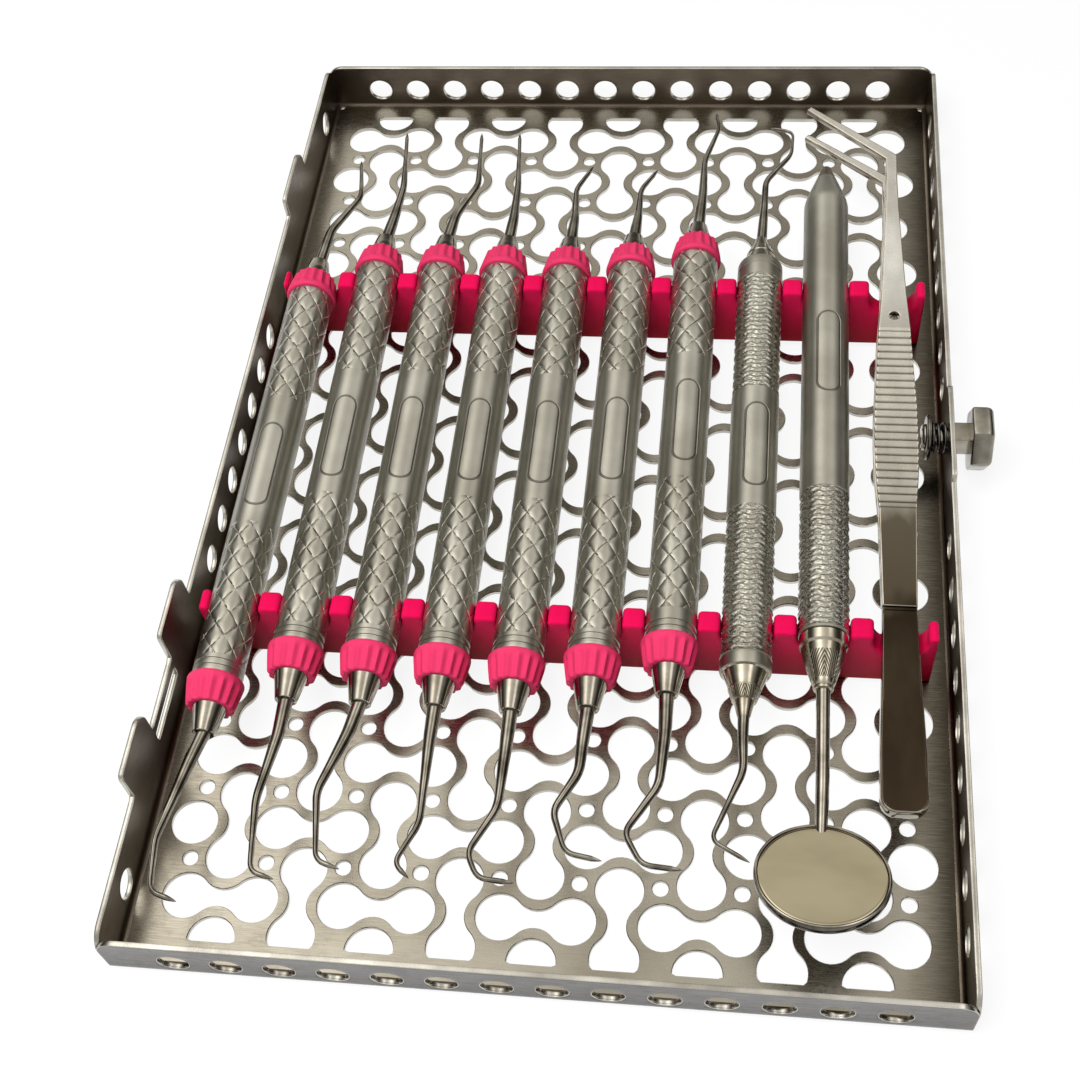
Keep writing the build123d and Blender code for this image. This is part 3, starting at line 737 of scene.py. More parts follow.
# %% [markdown]
# ## Tweezer steel and mirror glass
# The tweezers are satin like the handles, dark and brown at the welded butt
# and lighter towards the beak, where the near white tone is painted light. This
# could be painted on by hand, but a ramp of tones along the arm is enough. The
# glass of the mirror is a front-silvered disc, so it is a metal to the shader,
# with a warm tint painted in as a painted reflection of the room, and very smooth.

# %% Tweezer and mirror finishes
TWEEZER_HALF = 80.0


def tweezer_finish(painted_shading):
    """Satin steel that is dark and glossy at the butt, and gets lighter and duller
    in four stretches towards the beak, where its near white tone is painted light.
    The painted shading lists where each stretch starts and ends along Y, and its
    tone. The ends of the stretches are made uneven by slow noise, which also mixes
    in a brown stain."""
    finish = Finish("tweezer_satin", tone(190, 186, 170), 1.0, 0.28)
    fine = finish.noise(finish.place((0.06, 1, 1)), 0.14, 2.0)
    slow = finish.noise(finish.place((1, 0.4, 1)), 6.0, 3.0)
    ragged = finish.spread(slow, 0.3, 0.7, -2.5, 2.5)
    along = finish.math("ADD", finish.axes(finish.place())[Y_AXIS], ragged)
    ramp = finish.add("ValToRGB")
    for _ in painted_shading[2:]:
        ramp.color_ramp.elements.new(0.5)
    for element, (y, color) in zip(ramp.color_ramp.elements, painted_shading):
        element.position = (y + TWEEZER_HALF) / (2 * TWEEZER_HALF)
        element.color = color
    share = finish.spread(along, -TWEEZER_HALF, TWEEZER_HALF, 0.0, 1.0)
    cloud = finish.spread(slow, 0.35, 0.7, 0.0, 0.35)
    color = finish.mix(cloud, finish.fill(ramp, share), tone(92, 80, 62))
    satin = finish.spread(fine, 0.3, 0.7, 0.18, 0.28)
    polish = finish.spread(along, -22.0, -12.0, 0.1, 0.0)
    finish.bump(fine, 0.12, 0.02)
    return finish.dress(color, finish.math("SUBTRACT", satin, polish))


def glass_finish():
    """Silvered glass: almost a perfect mirror, with faint wiping marks, and a warm tint painted in as a
    painted reflection of the room.
    """
    finish = Finish("silvered_glass", tone(206, 196, 168), 1.0, 0.05)
    smear = finish.noise(finish.place((0.6, 1, 1), (0, 0, 50)), 7.0, 2.0, 0.5)
    wiped = finish.spread(smear, 0.35, 0.75, 0.0, 1.0)
    return finish.dress(finish.mix(wiped, tone(192, 182, 156), tone(177, 167, 140)),
                        finish.spread(smear, 0.35, 0.7, 0.03, 0.09))


# Painted light: the tones turn near white past the grooves towards the beak; towards the butt they are
# darker.
tweezer_steel = tweezer_finish([
    (-78, tone(60, 50, 38)), (-40, tone(50, 41, 31)),
    (-34, tone(92, 84, 70)), (-19, tone(104, 97, 83)),
    (-14, tone(194, 190, 178)), (24, tone(208, 204, 193)),
    (34, tone(250, 248, 240)), (78, tone(240, 236, 226))])
silvered_glass = glass_finish()

# %% [markdown]
# ## The perforated floor
# The floor is punched in a close weave. Two-lobed slots stand in the squares
# of a grid, one lying along the tray and the next across it, and small round
# holes sit where four squares meet. The weave stops at a straight line before
# each end. A tiled picture could only paint the holes, but light and the
# table must show through, so the distance to every kind of hole is written
# once, and the sheet is cut by it.

# %% Floor sheet
PITCH = 13.2
LOBE, REACH, WAIST = 0.303 * PITCH, 0.443 * PITCH, 0.112 * PITCH
HEIGHT = (REACH ** 2 - LOBE ** 2 + WAIST ** 2) / (2 * (LOBE - WAIST)) + WAIST
HOLLOW = HEIGHT - WAIST
SMALL_HOLE, CORNER_RELIEF, WEAVE_END, OVERLAP = 1.35, 1.1, 100.1, 0.12
LAST_COLUMN, LAST_ROW, LAST_NODE_X, LAST_NODE_Y = 4, 8, 4.5, 6.5


def slot_clearance(along, across):
    """Depth in the metal beside one slot: past the line from the lobe's centre
    to the centre of the waist's hollow the lobe's circle is nearer, else the hollow's."""
    a, b = np.abs(along), np.abs(across)
    waist = HOLLOW - np.hypot(a, b - HEIGHT)
    lobe = np.hypot(a - REACH, b) - LOBE
    return np.where(a / REACH + b / HEIGHT < 1, waist, lobe)


def floor_depth(x, y):
    """Depth in the floor's metal: the nearest of the slots, the small holes,
    the lone lobes at the sides, the round reliefs at the corners and the edge."""
    weave = np.full(np.shape(x), np.inf)
    column, row = np.round(x / PITCH), np.round(y / PITCH)
    for step_x in (-1, 0, 1):
        for step_y in (-1, 0, 1):
            i, j = column + step_x, row + step_y
            dx, dy = x - i * PITCH, y - j * PITCH
            odd, inside = np.mod(i + j, 2) > 0.5, (np.abs(i) <= LAST_COLUMN) & (np.abs(j) <= LAST_ROW)
            slot = np.where(odd, slot_clearance(dx, dy), slot_clearance(dy, dx))
            weave = np.where(inside, np.minimum(weave, slot), weave)
    side_row = np.clip(np.round(y / PITCH / 2), -3, 3) * 2 * PITCH
    side_column = (LAST_COLUMN + 1) * PITCH - REACH
    weave = np.minimum(weave, clear_of(np.abs(x), y, side_column, side_row, LOBE))
    node_x = np.clip(np.floor(x / PITCH) + 0.5, -LAST_NODE_X, LAST_NODE_X) * PITCH
    node_y = np.clip(np.floor(y / PITCH) + 0.5, -LAST_NODE_Y, LAST_NODE_Y) * PITCH
    weave = np.minimum(weave, clear_of(x, y, node_x, node_y, SMALL_HOLE))
    weave = np.maximum(weave, np.abs(y) - WEAVE_END)
    edge = np.minimum(FLOOR_X + OVERLAP - np.abs(x), FLOOR_Y + OVERLAP - np.abs(y))
    corner = clear_of(np.abs(x), np.abs(y), FLOOR_X, FLOOR_Y, CORNER_RELIEF)
    return np.minimum(np.minimum(weave, edge), corner)


floor_x, floor_y = FLOOR_X + OVERLAP, FLOOR_Y + OVERLAP
floor_sheet = cut_sheet(
    "floor_sheet", floor_depth, (-floor_x, floor_x, -floor_y, floor_y), PITCH / 16, SHEET, 0.12,
    lambda x, y, depth: np.stack([x, y, SHEET - depth], 1),
    [floor_steel, floor_steel, rim_highlight_steel], 1, 40)
settle(floor_sheet, "tray", "tray_steel", "tray_floor")

# %% [markdown]
# ## Walls folded from the same sheet
# Each wall is cut flat, with its drain holes and tabs, and then folded. Holes
# could be cut in walls that already stand, but the flat way is how a press
# makes them, and the distances stay simple. The cut is made in the wall's own
# flat map. The lowest strip of the map goes round the bend, and the rest
# stands upright. Each end is mitred, so that two walls meet in one thin line,
# and the top corners are rounded.

# %% Walls
BEND_RUN = BEND * math.pi / 2
DRAIN_RADIUS, DRAIN_Z, LATCH_HOLE = 2.55, 5.0, 1.9
WIDE_TAB_RADIUS, TAB_RADIUS = 3.3, 1.2


def flat_height(z):
    """Where a height above the table lies in a wall's flat map."""
    return BEND_RUN + z - BEND


WALL_RUN = flat_height(WALL_TOP)


def wall_place(reach, half_length, outwards):
    """Fold the flat map: an arc of the bend's radius for its lowest strip, then
    straight up. The ends stay inside the mitre, the plane halfway to the next wall."""
    outwards = np.array([*outwards, 0.0])
    along = np.cross([0, 0, 1], outwards)

    def place(u, v, depth):
        turn = np.clip(v / BEND, 0, np.pi / 2)
        out = reach - BEND + (BEND - depth) * np.sin(turn) + np.minimum(v, 0)
        up = BEND - (BEND - depth) * np.cos(turn) + np.maximum(v - BEND_RUN, 0)
        limit = half_length - (reach - out)
        u = np.clip(u, -limit, limit)
        return u[:, None] * along + out[:, None] * outwards + up[:, None] * np.array([0, 0, 1])

    return place


def tab_depth(u, v, low, high, rise, low_radius, high_radius):
    """Depth in a tab: a rectangle that starts in the wall, its two top corners round."""
    middle = (low + high) / 2
    radius = np.where(u < middle, low_radius, high_radius)
    return round_top(u - middle, v, (high - low) / 2, WALL_RUN + rise, radius)


def wall_depth(half_length, tabs, holes):
    """Depth in a wall: its blank and tabs together, less each of its holes."""
    def depth(u, v):
        blank = round_top(u, v, half_length, WALL_RUN, 3.5)
        for tab in tabs:
            blank = np.maximum(blank, tab_depth(u, v, *tab))
        turn = np.clip(v / BEND, 0, np.pi / 2)
        mitre = half_length - BEND * (1 - np.sin(turn)) - np.abs(u)
        blank = np.minimum(np.minimum(blank, mitre), v + OVERLAP)
        for hole_u, hole_v, radius in holes:
            blank = np.minimum(blank, clear_of(u, v, hole_u, hole_v, radius))
        return blank
    return depth


def row_of_holes(count, spacing, kept):
    """Places of the drain holes along a wall's own map, at one height. kept
    says which of an even row of count places have one."""
    return [((k - (count - 1) / 2) * spacing, flat_height(DRAIN_Z), DRAIN_RADIUS) for k in kept]


def strap_slot(depth, low, high, bottom, top):
    """The same depth with a slot for the hinge strap taken out of it."""
    middle, half = (low + high) / 2, (high - low) / 2
    level, half_height = (bottom + top) / 2, (top - bottom) / 2

    def cut(u, v):
        return np.minimum(depth(u, v), -round_box(u - middle, v - level, half, half_height, 0.4))
    return cut


def fold_wall(name, depth, reach, half_length, outwards, highest):
    """Cut one wall in its flat map and fold it."""
    blank = (-half_length, half_length, -OVERLAP, WALL_RUN + highest)
    piece = cut_sheet(name + "_folded", depth, blank, 0.62, SHEET, 0.16,
                      wall_place(reach, half_length, outwards),
                      [outer_wall_steel, inner_wall_shaded_steel, rim_highlight_steel], 2, 38)
    return settle(piece, "tray", "tray_steel", name)


end_holes = row_of_holes(14, 8.7, range(14))
left_row = [0, *range(7, 14), 20]
right_row = [*range(0, 9), *range(12, 21)]
left_holes = [(-u, v, r) for u, v, r in row_of_holes(21, 9.28, left_row)]
right_holes = row_of_holes(21, 9.28, right_row) + [(LATCH_Y, flat_height(LATCH_Z), LATCH_HOLE)]
left_tabs = [(low, high, rise, WIDE_TAB_RADIUS, TAB_RADIUS)
             for low, high, rise in ((67.2, 80.0, 7.0), (39.6, 53.2, 7.0), (-72.6, -56.4, 4.6))]
right_tabs = [(-8.5, 13.5, 1.3, TAB_RADIUS, TAB_RADIUS)]
left_depth = strap_slot(wall_depth(TRAY_Y, left_tabs, left_holes), 53.8, 67.2,
                        flat_height(6.9), flat_height(9.1))
right_depth = wall_depth(TRAY_Y, right_tabs, right_holes)
end_depth = wall_depth(TRAY_X, [], end_holes)

for name, depth, reach, half_length, outwards, highest in (
        ("wall_front", end_depth, TRAY_Y, TRAY_X, (0, -1), 0),
        ("wall_back", end_depth, TRAY_Y, TRAY_X, (0, 1), 0),
        ("wall_left", left_depth, TRAY_X, TRAY_Y, (-1, 0), 7.0),
        ("wall_right", right_depth, TRAY_X, TRAY_Y, (1, 0), 1.3)):
    fold_wall(name, depth, reach, half_length, outwards, highest)

# %% [markdown]
# ## Silicone racks
# Each rack is a standing strip with round-bottomed slots, one for each
# instrument, and a domed tooth between two slots. It is moulded, so every
# edge is well rounded. The strip is cut from a flat map like the sheet steel,
# only thicker, and its rim has three rows so that it turns softly.

# %% Racks
RACK_HALF, RACK_TOP, RACK_THICK = 63.8, 14.8, 4.0
SLOT_RADIUS, WIDE_SLOT_RADIUS, TOOTH_ROUND = 4.47, 5.05, 0.9


def rack_depth(stretched):
    """Depth in a rack: a strip with rounded teeth, less each slot. A slot is a
    circle with its sides carried straight up, and those in stretched are wider."""
    def depth(u, v):
        strip = np.minimum(round_top(u, v, RACK_HALF, RACK_TOP, 0.8), v - SHEET)
        for number in range(1, 11):
            radius = WIDE_SLOT_RADIUS if number in stretched else SLOT_RADIUS
            away = np.abs(u - slot_x(number))
            slot = np.where(v > HANDLE_Z, away, np.hypot(away, v - HANDLE_Z)) - radius
            strip = np.minimum(strip, slot)
            flank, drop = away - radius, RACK_TOP - v
            near = (flank < TOOTH_ROUND) & (drop < TOOTH_ROUND) & (away < SLOT_PITCH / 2 + 0.05)
            corner = TOOTH_ROUND - np.hypot(TOOTH_ROUND - flank, TOOTH_ROUND - drop)
            strip = np.where(near, np.minimum(strip, corner), strip)
        return strip
    return depth


for name, middle_y, stretched in (("rack_front", -42.7, []), ("rack_back", 35.1, [1])):
    rack = cut_sheet(
        name + "_moulded", rack_depth(stretched), (-RACK_HALF, RACK_HALF, SHEET, RACK_TOP),
        0.46, RACK_THICK, 0.55,
        lambda u, v, depth, y=middle_y: np.stack([u, y - RACK_THICK / 2 + depth, v], 1),
        [rack_silicone] * 3, 3, 50)
    settle(rack, "tray", "rack_silicone", name)

# %% [markdown]
# ## Turned pieces
# A handle is turned on a lathe: one profile goes round an axis. The profile
# is a short list of places along the axis and radii there, with small steps
# for the edges. Extra rows between them keep the faces square enough for the
# finish, and the skin function does the rest.

# %% Turn a profile round an axis
def fill_profile(profile, longest):
    """The profile with rows added, so that no two are further apart than longest."""
    profile = np.asarray(profile, float)
    runs = np.hypot(*np.diff(profile, axis=0).T)
    counts = np.maximum(1, np.ceil(runs / longest).astype(int))
    start = np.repeat(np.arange(len(counts)), counts)
    share = np.concatenate([np.arange(n) / n for n in counts])[:, None]
    rows = profile[start] * (1 - share) + profile[start + 1] * share
    return np.concatenate([rows, profile[-1:]])


def turned_rows(profile, centre, heading=(0, 1, 0), up=(0, 0, 1), sides=48, flute=None):
    """Rows of circles: centre + along x heading + radius x (cos t side + sin t rise).
    flute(along, t) may change each radius, as the flutes of a grip ring do."""
    heading = np.asarray(heading, float)
    side = one_long(np.cross(heading, np.asarray(up, float)))
    rise = np.cross(side, heading)
    angle = np.linspace(0, 2 * np.pi, sides, endpoint=False)
    ring = np.cos(angle)[:, None] * side + np.sin(angle)[:, None] * rise
    along, radius = profile[:, 0], profile[:, 1][:, None] * np.ones(sides)
    if flute is not None:
        radius = radius * flute(along[:, None], angle[None, :])
    return np.asarray(centre, float) + along[:, None, None] * heading + radius[:, :, None] * ring


def turn_piece(name, profile, centre, materials, body, slot, nodes=(), longest=2.0,
               kind_at=None, shift=0.0, **how):
    """Turn a profile into a piece. kind_at(along) picks the material of each
    row, and shift moves the finish along the piece's own map."""
    rows = fill_profile(profile, longest)
    kinds = None if kind_at is None else kind_at((rows[:, 0] + np.roll(rows[:, 0], -1)) / 2)
    piece = skin(name, turned_rows(rows, centre, **how), materials, kinds, rows[:, 0] + shift, 30)
    return piece if body is None else settle(piece, body, slot, *nodes)


def beyond(limit):
    """Which material each row takes: the second one past limit along the axis, either way."""
    return lambda along: (np.abs(along) > limit).astype(int)


CONE_START, CONE_END, RING_START = 44.6, 54.2, 44.4
scaler_middles = {1: -14.2, 2: -7.1, 3: -7.0, 4: -7.0, 5: -7.1, 6: -5.8, 7: -2.4}
end_profile = [(-54.2, 1.25), (-54.5, 1.5), (-54.6, 1.75), (-54.5, 1.9), (-54.3, 1.95), (-49.9, 2.85),
               (-49.4, 3.1), (-44.7, 3.9), (-44.4, 4.2), (-44.3, 4.34), (-44.1, 4.38)]
ridge_shape = [(0.0, GRIP_RADIUS), (0.08, 4.22), (0.3, 4.18), (0.52, 4.22), (0.6, GRIP_RADIUS)]
ridges = [(start + s, r) for start in (-43.8, -42.6) for s, r in ridge_shape]
scaler_profile = (end_profile + ridges + [(-13.5, GRIP_RADIUS), (15.8, GRIP_RADIUS)]
                  + [(-s, r) for s, r in end_profile[::-1]])


for number, middle in scaler_middles.items():
    body = f"scaler_{number}"
    centre = (slot_x(number), middle, HANDLE_Z)
    turn_piece(body + "_grip", scaler_profile, centre, [scaler_grip_steel, bright_steel], body,
               "handle_steel", [body + "_handle"], 3.0, beyond(CONE_START), -1.5 if number == 7 else 0.0)

# %% [markdown]
# ## Grip rings
# A ring of soft silicone covers each end of a scaler's grip. It starts with a
# round lip, then sixteen shallow flutes run along it to the nose, where it
# curls in on the metal cone. The flutes could be cut out of a plain ring, but
# a turned profile whose radius also dips with the angle gives them at once.
# The dip fades out at the lip.

# %% Rings
ring_profile = [(0.0, 4.3), (0.03, 4.6), (0.14, 4.8), (0.32, 4.91), (0.6, 4.95), (1.0, 4.93), (1.6, 4.84),
                (2.6, 4.66), (3.6, 4.47), (4.4, 4.32), (4.9, 4.22), (5.2, 4.1), (5.35, 3.9), (5.4, 3.6),
                (5.38, 3.3), (5.3, 2.9)]


def flutes(along, angle):
    """One less a dip of up to 9 per cent between sixteen ribs. The dip starts
    below the lip, and its floor is broad, so the ribs stand up between flutes."""
    fade = np.clip((np.abs(along) - 0.7) / 1.0, 0, 1) ** 1.5
    dip = (0.5 + 0.5 * np.cos(16 * angle)) ** 0.8
    return 1 - 0.09 * fade * dip


for number, middle in scaler_middles.items():
    body = f"scaler_{number}"
    pair = []
    for end in (-1, 1):
        centre = (slot_x(number), middle + end * RING_START, HANDLE_Z)
        pair.append(turn_piece(f"{body}_ring{end}", ring_profile, centre, [ring_silicone], None, None,
                               longest=0.5, heading=(0, end, 0), sides=128, flute=flutes))
    settle(join(body + "_grip_rings", pair), body, "ring_silicone", body + "_rings")

# %% [markdown]
# ## Working tips
# A shank leaves the cone straight, bends, and thins towards the working end,
# where it is flattened into a blade and hooks round. The centre line is a few
# corners rounded by parabolas. The section is an ellipse that shrinks along
# the line and grows taller than wide at the blade.

# %% Tips of the scalers and the explorer
scaler_tips = {
    1: ([(-1.2, -74), (-3.7, -88), (-2.4, -97), (2.3, -98.4)],
        [(0.7, 50), (5.4, 60), (3.6, 71)]),
    2: ([(0, -68), (-1.4, -80), (0.2, -92.6), (4.3, -93.6)],
        [(0.7, 54), (1.3, 63), (-0.5, 80)]),
    3: ([(-1.0, -67), (-4.4, -78), (-2.4, -90), (1.7, -91.2)],
        [(0.8, 55), (4.4, 64), (3.2, 80)]),
    4: ([(0, -68), (0.5, -82.6), (-2.6, -89.6), (0.2, -92)],
        [(0.3, 54), (0.1, 64), (-1.3, 80)]),
    5: ([(0, -68), (-0.1, -79), (-4.0, -87), (-1.9, -91.2), (4.0, -91.6)],
        [(0.2, 55), (-0.3, 63), (2.8, 70)]),
    6: ([(-0.3, -66), (-0.4, -72), (-4.0, -79), (-1.4, -86), (4.5, -87)],
        [(0.4, 56), (0.4, 63), (3.6, 69)]),
    7: ([(0.2, -64), (-0.2, -73.4), (-5.2, -82), (-2.1, -87.2), (4.3, -87.7)],
        [(0.5, 62), (0.4, 72), (3.1, 82), (2.2, 87)]),
}
explorer_tips = ([(0, -64), (0.3, -70), (-4.4, -82.3), (1.8, -85.7)],
                 [(0.3, 56), (0.5, 66), (5.6, 74), (5.9, 81), (1.0, 82.2)])
THINNING = np.array([[0, 1], [0.16, 0.86], [0.38, 0.62], [0.6, 0.52]])
TIP_BEND, TIP_ROWS = 1.7, 110


def bent_tip(name, axis_x, start_y, bends, body, node, thick, blade):
    """Sweep an ellipse along a tip's line. Its radius falls from thick to about
    half of that at 0.6 of the run, then to the blade's, and to a point at the
    end. The blade is flattened a little, so it is taller than wide."""
    corners = [(axis_x, start_y, HANDLE_Z)] + [(axis_x + dx, y, HANDLE_Z) for dx, y in bends]
    path, travelled = rounded_path(corners, TIP_BEND, TIP_ROWS)
    share = travelled / travelled[-1]
    radius = np.interp(share, [*THINNING[:, 0], 0.85, 1], [*(THINNING[:, 1] * thick), blade, blade])
    point = np.clip((travelled[-1] - travelled) / 1.8, 0.02, 1) ** 0.6
    flat = np.clip((share - 0.4) / 0.4, 0, 1)[:, None]
    across, upwards = circle_of(radius * point, 20)
    rows = carry(path, across * (1 - 0.2 * flat), upwards * (1 + 0.15 * flat))
    piece = skin(name, rows, [tip_shaded_steel], None, travelled, 40)
    return settle(piece, body, "bright_steel", node)


for number, middle in scaler_middles.items():
    body = f"scaler_{number}"
    for end, way, bends, blade in zip(("front", "rear"), (-1, 1), scaler_tips[number], (0.55, 0.5)):
        bent_tip(f"{body}_blade_{end}", slot_x(number), middle + way * CONE_END, bends,
                 body, f"{body}_tip_{end}", 1.3, blade)

# %% [markdown]
# ## Explorer
# The explorer is thinner at its ends than the scalers: a matt collar, then a
# polished cone with the band of slanted lines, and a needle that curls round
# to a fine hook. Its grip has stacked rings that sway round the handle. They
# could be a bump in the finish, but they are wide enough to show at the edge
# of the handle, so the radius of the turned profile follows a wave instead.

# %% Explorer
EXPLORER_Y, EXPLORER_CONE_START, EXPLORER_CONE_END, RING_PITCH = -5.6, 46.55, 52.3, 1.05
explorer_end = [(-54.9, 0.7), (-54.8, 0.95), (-54.5, 1.1), (-51.9, 1.75), (-51.7, 2.1), (-49.7, 2.8),
                (-49.5, 2.75), (-46.7, 3.75), (-46.6, 4.0), (-46.5, 4.25), (-46.2, 4.36),
                (-44.5, GRIP_RADIUS), (-44.4, 4.28), (-44.2, 4.28), (-44.1, GRIP_RADIUS)]


def knurl_rows(low, high):
    """Profile stations on the plain radius, about eight to a ring, for a knurled stretch."""
    along = np.arange(low, high, 0.13)
    return np.stack([along, np.full(len(along), GRIP_RADIUS)], 1).tolist()


def woven_rings(zones):
    """Radius factor of stacked rings that sway nine times round: 1 - 0.05 x
    groove inside the zones. Each ring's crest also rises and falls along it,
    out of step with its neighbours, so the rings look woven."""
    def factor(along, angle):
        sway = 0.2 * np.sin(9 * angle) + 0.1 * np.sin(2 * angle + 0.5 * along)
        phase = along / RING_PITCH + sway
        groove = 0.5 - 0.5 * np.cos(2 * np.pi * phase)
        crest = (1 - groove) * (0.5 + 0.5 * np.sin(9 * angle + np.pi * np.round(phase)))
        inside = sum(np.clip((along - low) / 0.15, 0, 1) * np.clip((high - along) / 0.15, 0, 1)
                     for low, high in zones)
        return 1 - inside * (0.05 * groove + 0.03 * crest)
    return factor


explorer_profile = (explorer_end + knurl_rows(-43.8, -14.0) + knurl_rows(12.4, 41.9)
                    + [(-s, r) for s, r in explorer_end[::-1]])
turn_piece("explorer_grip", explorer_profile, (slot_x(8), EXPLORER_Y, HANDLE_Z),
           [explorer_grip_steel, explorer_socket_steel], "explorer", "handle_steel",
           ["explorer_handle"], 3.0, beyond(EXPLORER_CONE_START),
           sides=120, flute=woven_rings(explorer_zones))
for end, way, bends, thick, point in zip(
        ("front", "rear"), (-1, 1), explorer_tips, (1.05, 1.1), (0.45, 0.36)):
    bent_tip("explorer_needle_" + end, slot_x(8), EXPLORER_Y + way * EXPLORER_CONE_END, bends,
             "explorer", "explorer_tip_" + end, thick, point)

# %% [markdown]
# ## Mouth mirror
# A long handle whose tail narrows to a browned point, a polished cone socket,
# a thin stem, and a shallow cup that holds the round glass. The cup is tilted
# a little, its front edge raised, so its axis leans back. The cup's lip is
# rolled over the edge of the glass. All but the bent stem are turned.

# %% Mirror
MIRROR_X, TAIL_START, LIP_START = slot_x(9), 65.4, 2.2
tail_profile = [(57.5, GRIP_RADIUS), (58.2, 4.36), (59.2, 4.2), (62.0, 3.4), (66.0, 2.1), (68.6, 1.25),
                (69.6, 0.95), (69.9, 0.7), (70.0, 0.3)]
mirror_handle_profile = ([(-44.5, 3.6), (-44.4, 4.2), (-44.1, GRIP_RADIUS)] + knurl_rows(-43.9, -15.0)
                         + tail_profile)
turn_piece("mirror_grip", mirror_handle_profile, (MIRROR_X, 0, HANDLE_Z), [mirror_grip_steel, burnt_steel],
           "mirror", "handle_steel", ["mirror_handle"], 3.0, beyond(TAIL_START),
           sides=120, flute=woven_rings(mirror_zones))
mirror_socket_profile = [
    (-54.6, 1.2), (-54.5, 1.6), (-54.2, 1.75), (-53.9, 1.6), (-53.7, 1.75), (-53.2, 2.0), (-50.0, 3.0),
    (-47.2, 3.75), (-46.9, 3.75), (-46.7, 3.95), (-46.5, 4.1), (-44.7, 4.1), (-44.5, 3.9)]
turn_piece("mirror_cone", mirror_socket_profile, (MIRROR_X, 0, HANDLE_Z), [mirror_socket_steel], "mirror",
           "bright_steel", ["mirror_socket"], 1.0)
stem_line, stem_run = rounded_path([(MIRROR_X, -54.4, HANDLE_Z), (MIRROR_X, -70.5, HANDLE_Z),
                                    (MIRROR_X, -79.6, 10.5)], 4.0, 60)
stem_across, stem_upwards = circle_of(np.interp(stem_run, [0, 20, stem_run[-1]], [1.15, 1.1, 0.95]), 28)
stem = skin("mirror_rod", carry(stem_line, stem_across, stem_upwards), [bright_steel], None, stem_run)
settle(stem, "mirror", "bright_steel", "mirror_stem")

CUP_TILT = math.radians(19)
cup_axis, cup_centre = (0, math.sin(CUP_TILT), math.cos(CUP_TILT)), (MIRROR_X, -88.0, 12.45)
cup_profile = [
    (0.0, 6.0), (0.0, 9.0), (0.06, 9.5), (0.25, 9.95), (0.6, 10.3), (1.1, 10.46), (1.6, 10.5), (2.05, 10.48),
    (2.22, 10.38), (2.3, 10.2), (2.27, 10.05), (2.15, 9.98), (1.9, 9.96), (1.2, 9.96), (1.0, 9.8), (1.0, 6.0)]
turn_piece("mirror_bowl", cup_profile, cup_centre, [shaded_bright_steel, bright_steel], "mirror",
           "bright_steel", ["mirror_cup"], 1.2, beyond(LIP_START), heading=cup_axis, up=(0, 1, 0), sides=96)
glass_profile = [(1.0, 6.0), (1.0, 9.8), (1.95, 9.92), (2.06, 9.86), (2.12, 9.7), (2.13, 9.4), (2.13, 4.0)]
turn_piece("mirror_disc", glass_profile, cup_centre, [silvered_glass], "mirror", "mirror_glass",
           ["mirror_glass"], 1.5, heading=cup_axis, up=(0, 1, 0), sides=96)

# %% [markdown]
# ## Cotton tweezers
# Two spring arms are welded at a thick butt. Both are stamped from strip:
# narrow at the neck, bent sideways at the elbow into a fine beak. They are
# cut like the sheet steel, from a map of the strip seen from above. The upper
# arm has a hole that the guide pin passes through, and a row of fine grooves
# for the fingers, which are a wave added to the height of its top face.

# %% Outline of an arm
ARM_X, ROOT_Y, BUTT_Y, PIN_Y = slot_x(10), -37.0, -75.6, 27.2
ELBOW = np.array([0.0, 69.4 - ROOT_Y])
BEAK = np.array([40.8 - ARM_X, 83.4 - ROOT_Y])
BEAK_RUN = np.hypot(*(BEAK - ELBOW))
BEAK_HALF, BEAK_THINNING, PIN_HOLE = 1.15, 0.5, 0.9
WIDTHS = {-38.6: 7.7, -28: 7.5, -14: 6.5, 0: 5.9, 20: 6.6, 28: 7.6, 35: 7.9, 42: 7.7, 50: 6.9, 61.8: 5.9,
          69.5: 4.8, 76: 4.1, 84: 3.36, 92: 2.6, 100: 2.24, 140: 2.2}


def arm_half_width(v):
    """Half the arm's width at a distance v past the weld: 7.7 mm across at the butt,
    5.9 at the weld, 7.9 under the fingers, and 2.2 at the neck."""
    return np.interp(v, list(WIDTHS), np.array(list(WIDTHS.values())) / 2)


def arm_depth(start, corner, hole):
    """Depth in an arm: its straight part and its beak together, less the pin's hole.
    The beak narrows from the neck's width to a fine end along its own run."""
    heading = (BEAK - ELBOW) / BEAK_RUN

    def depth(u, v):
        flank, drop = arm_half_width(v) - np.abs(u), v - start
        straight = np.minimum(flank, drop)
        round_off = corner - np.hypot(np.maximum(corner - flank, 0), np.maximum(corner - drop, 0))
        straight = np.where((flank < corner) & (drop < corner), np.minimum(straight, round_off), straight)
        straight = np.minimum(straight, ELBOW[1] - v)
        along = (u - ELBOW[0]) * heading[0] + (v - ELBOW[1]) * heading[1]
        off = (u - ELBOW[0]) * heading[1] - (v - ELBOW[1]) * heading[0]
        half = BEAK_HALF - BEAK_THINNING * np.clip(along / BEAK_RUN, 0, 1)
        beak = np.where(along < 0, BEAK_HALF - np.hypot(along, off), half - np.abs(off))
        shape = np.maximum(straight, np.minimum(beak, BEAK_RUN - 0.1 - along))
        return np.minimum(shape, clear_of(u, v, 0, PIN_Y - ROOT_Y, PIN_HOLE)) if hole else shape
    return depth

# %% Lift an arm off its map
STRIP, GROOVES, GROOVE_PITCH, FIRST_GROOVE_Y = 1.3, 24, 1.7, -16.0
WELD_PLACE, WELD_HEIGHT = -1.3, 0.25


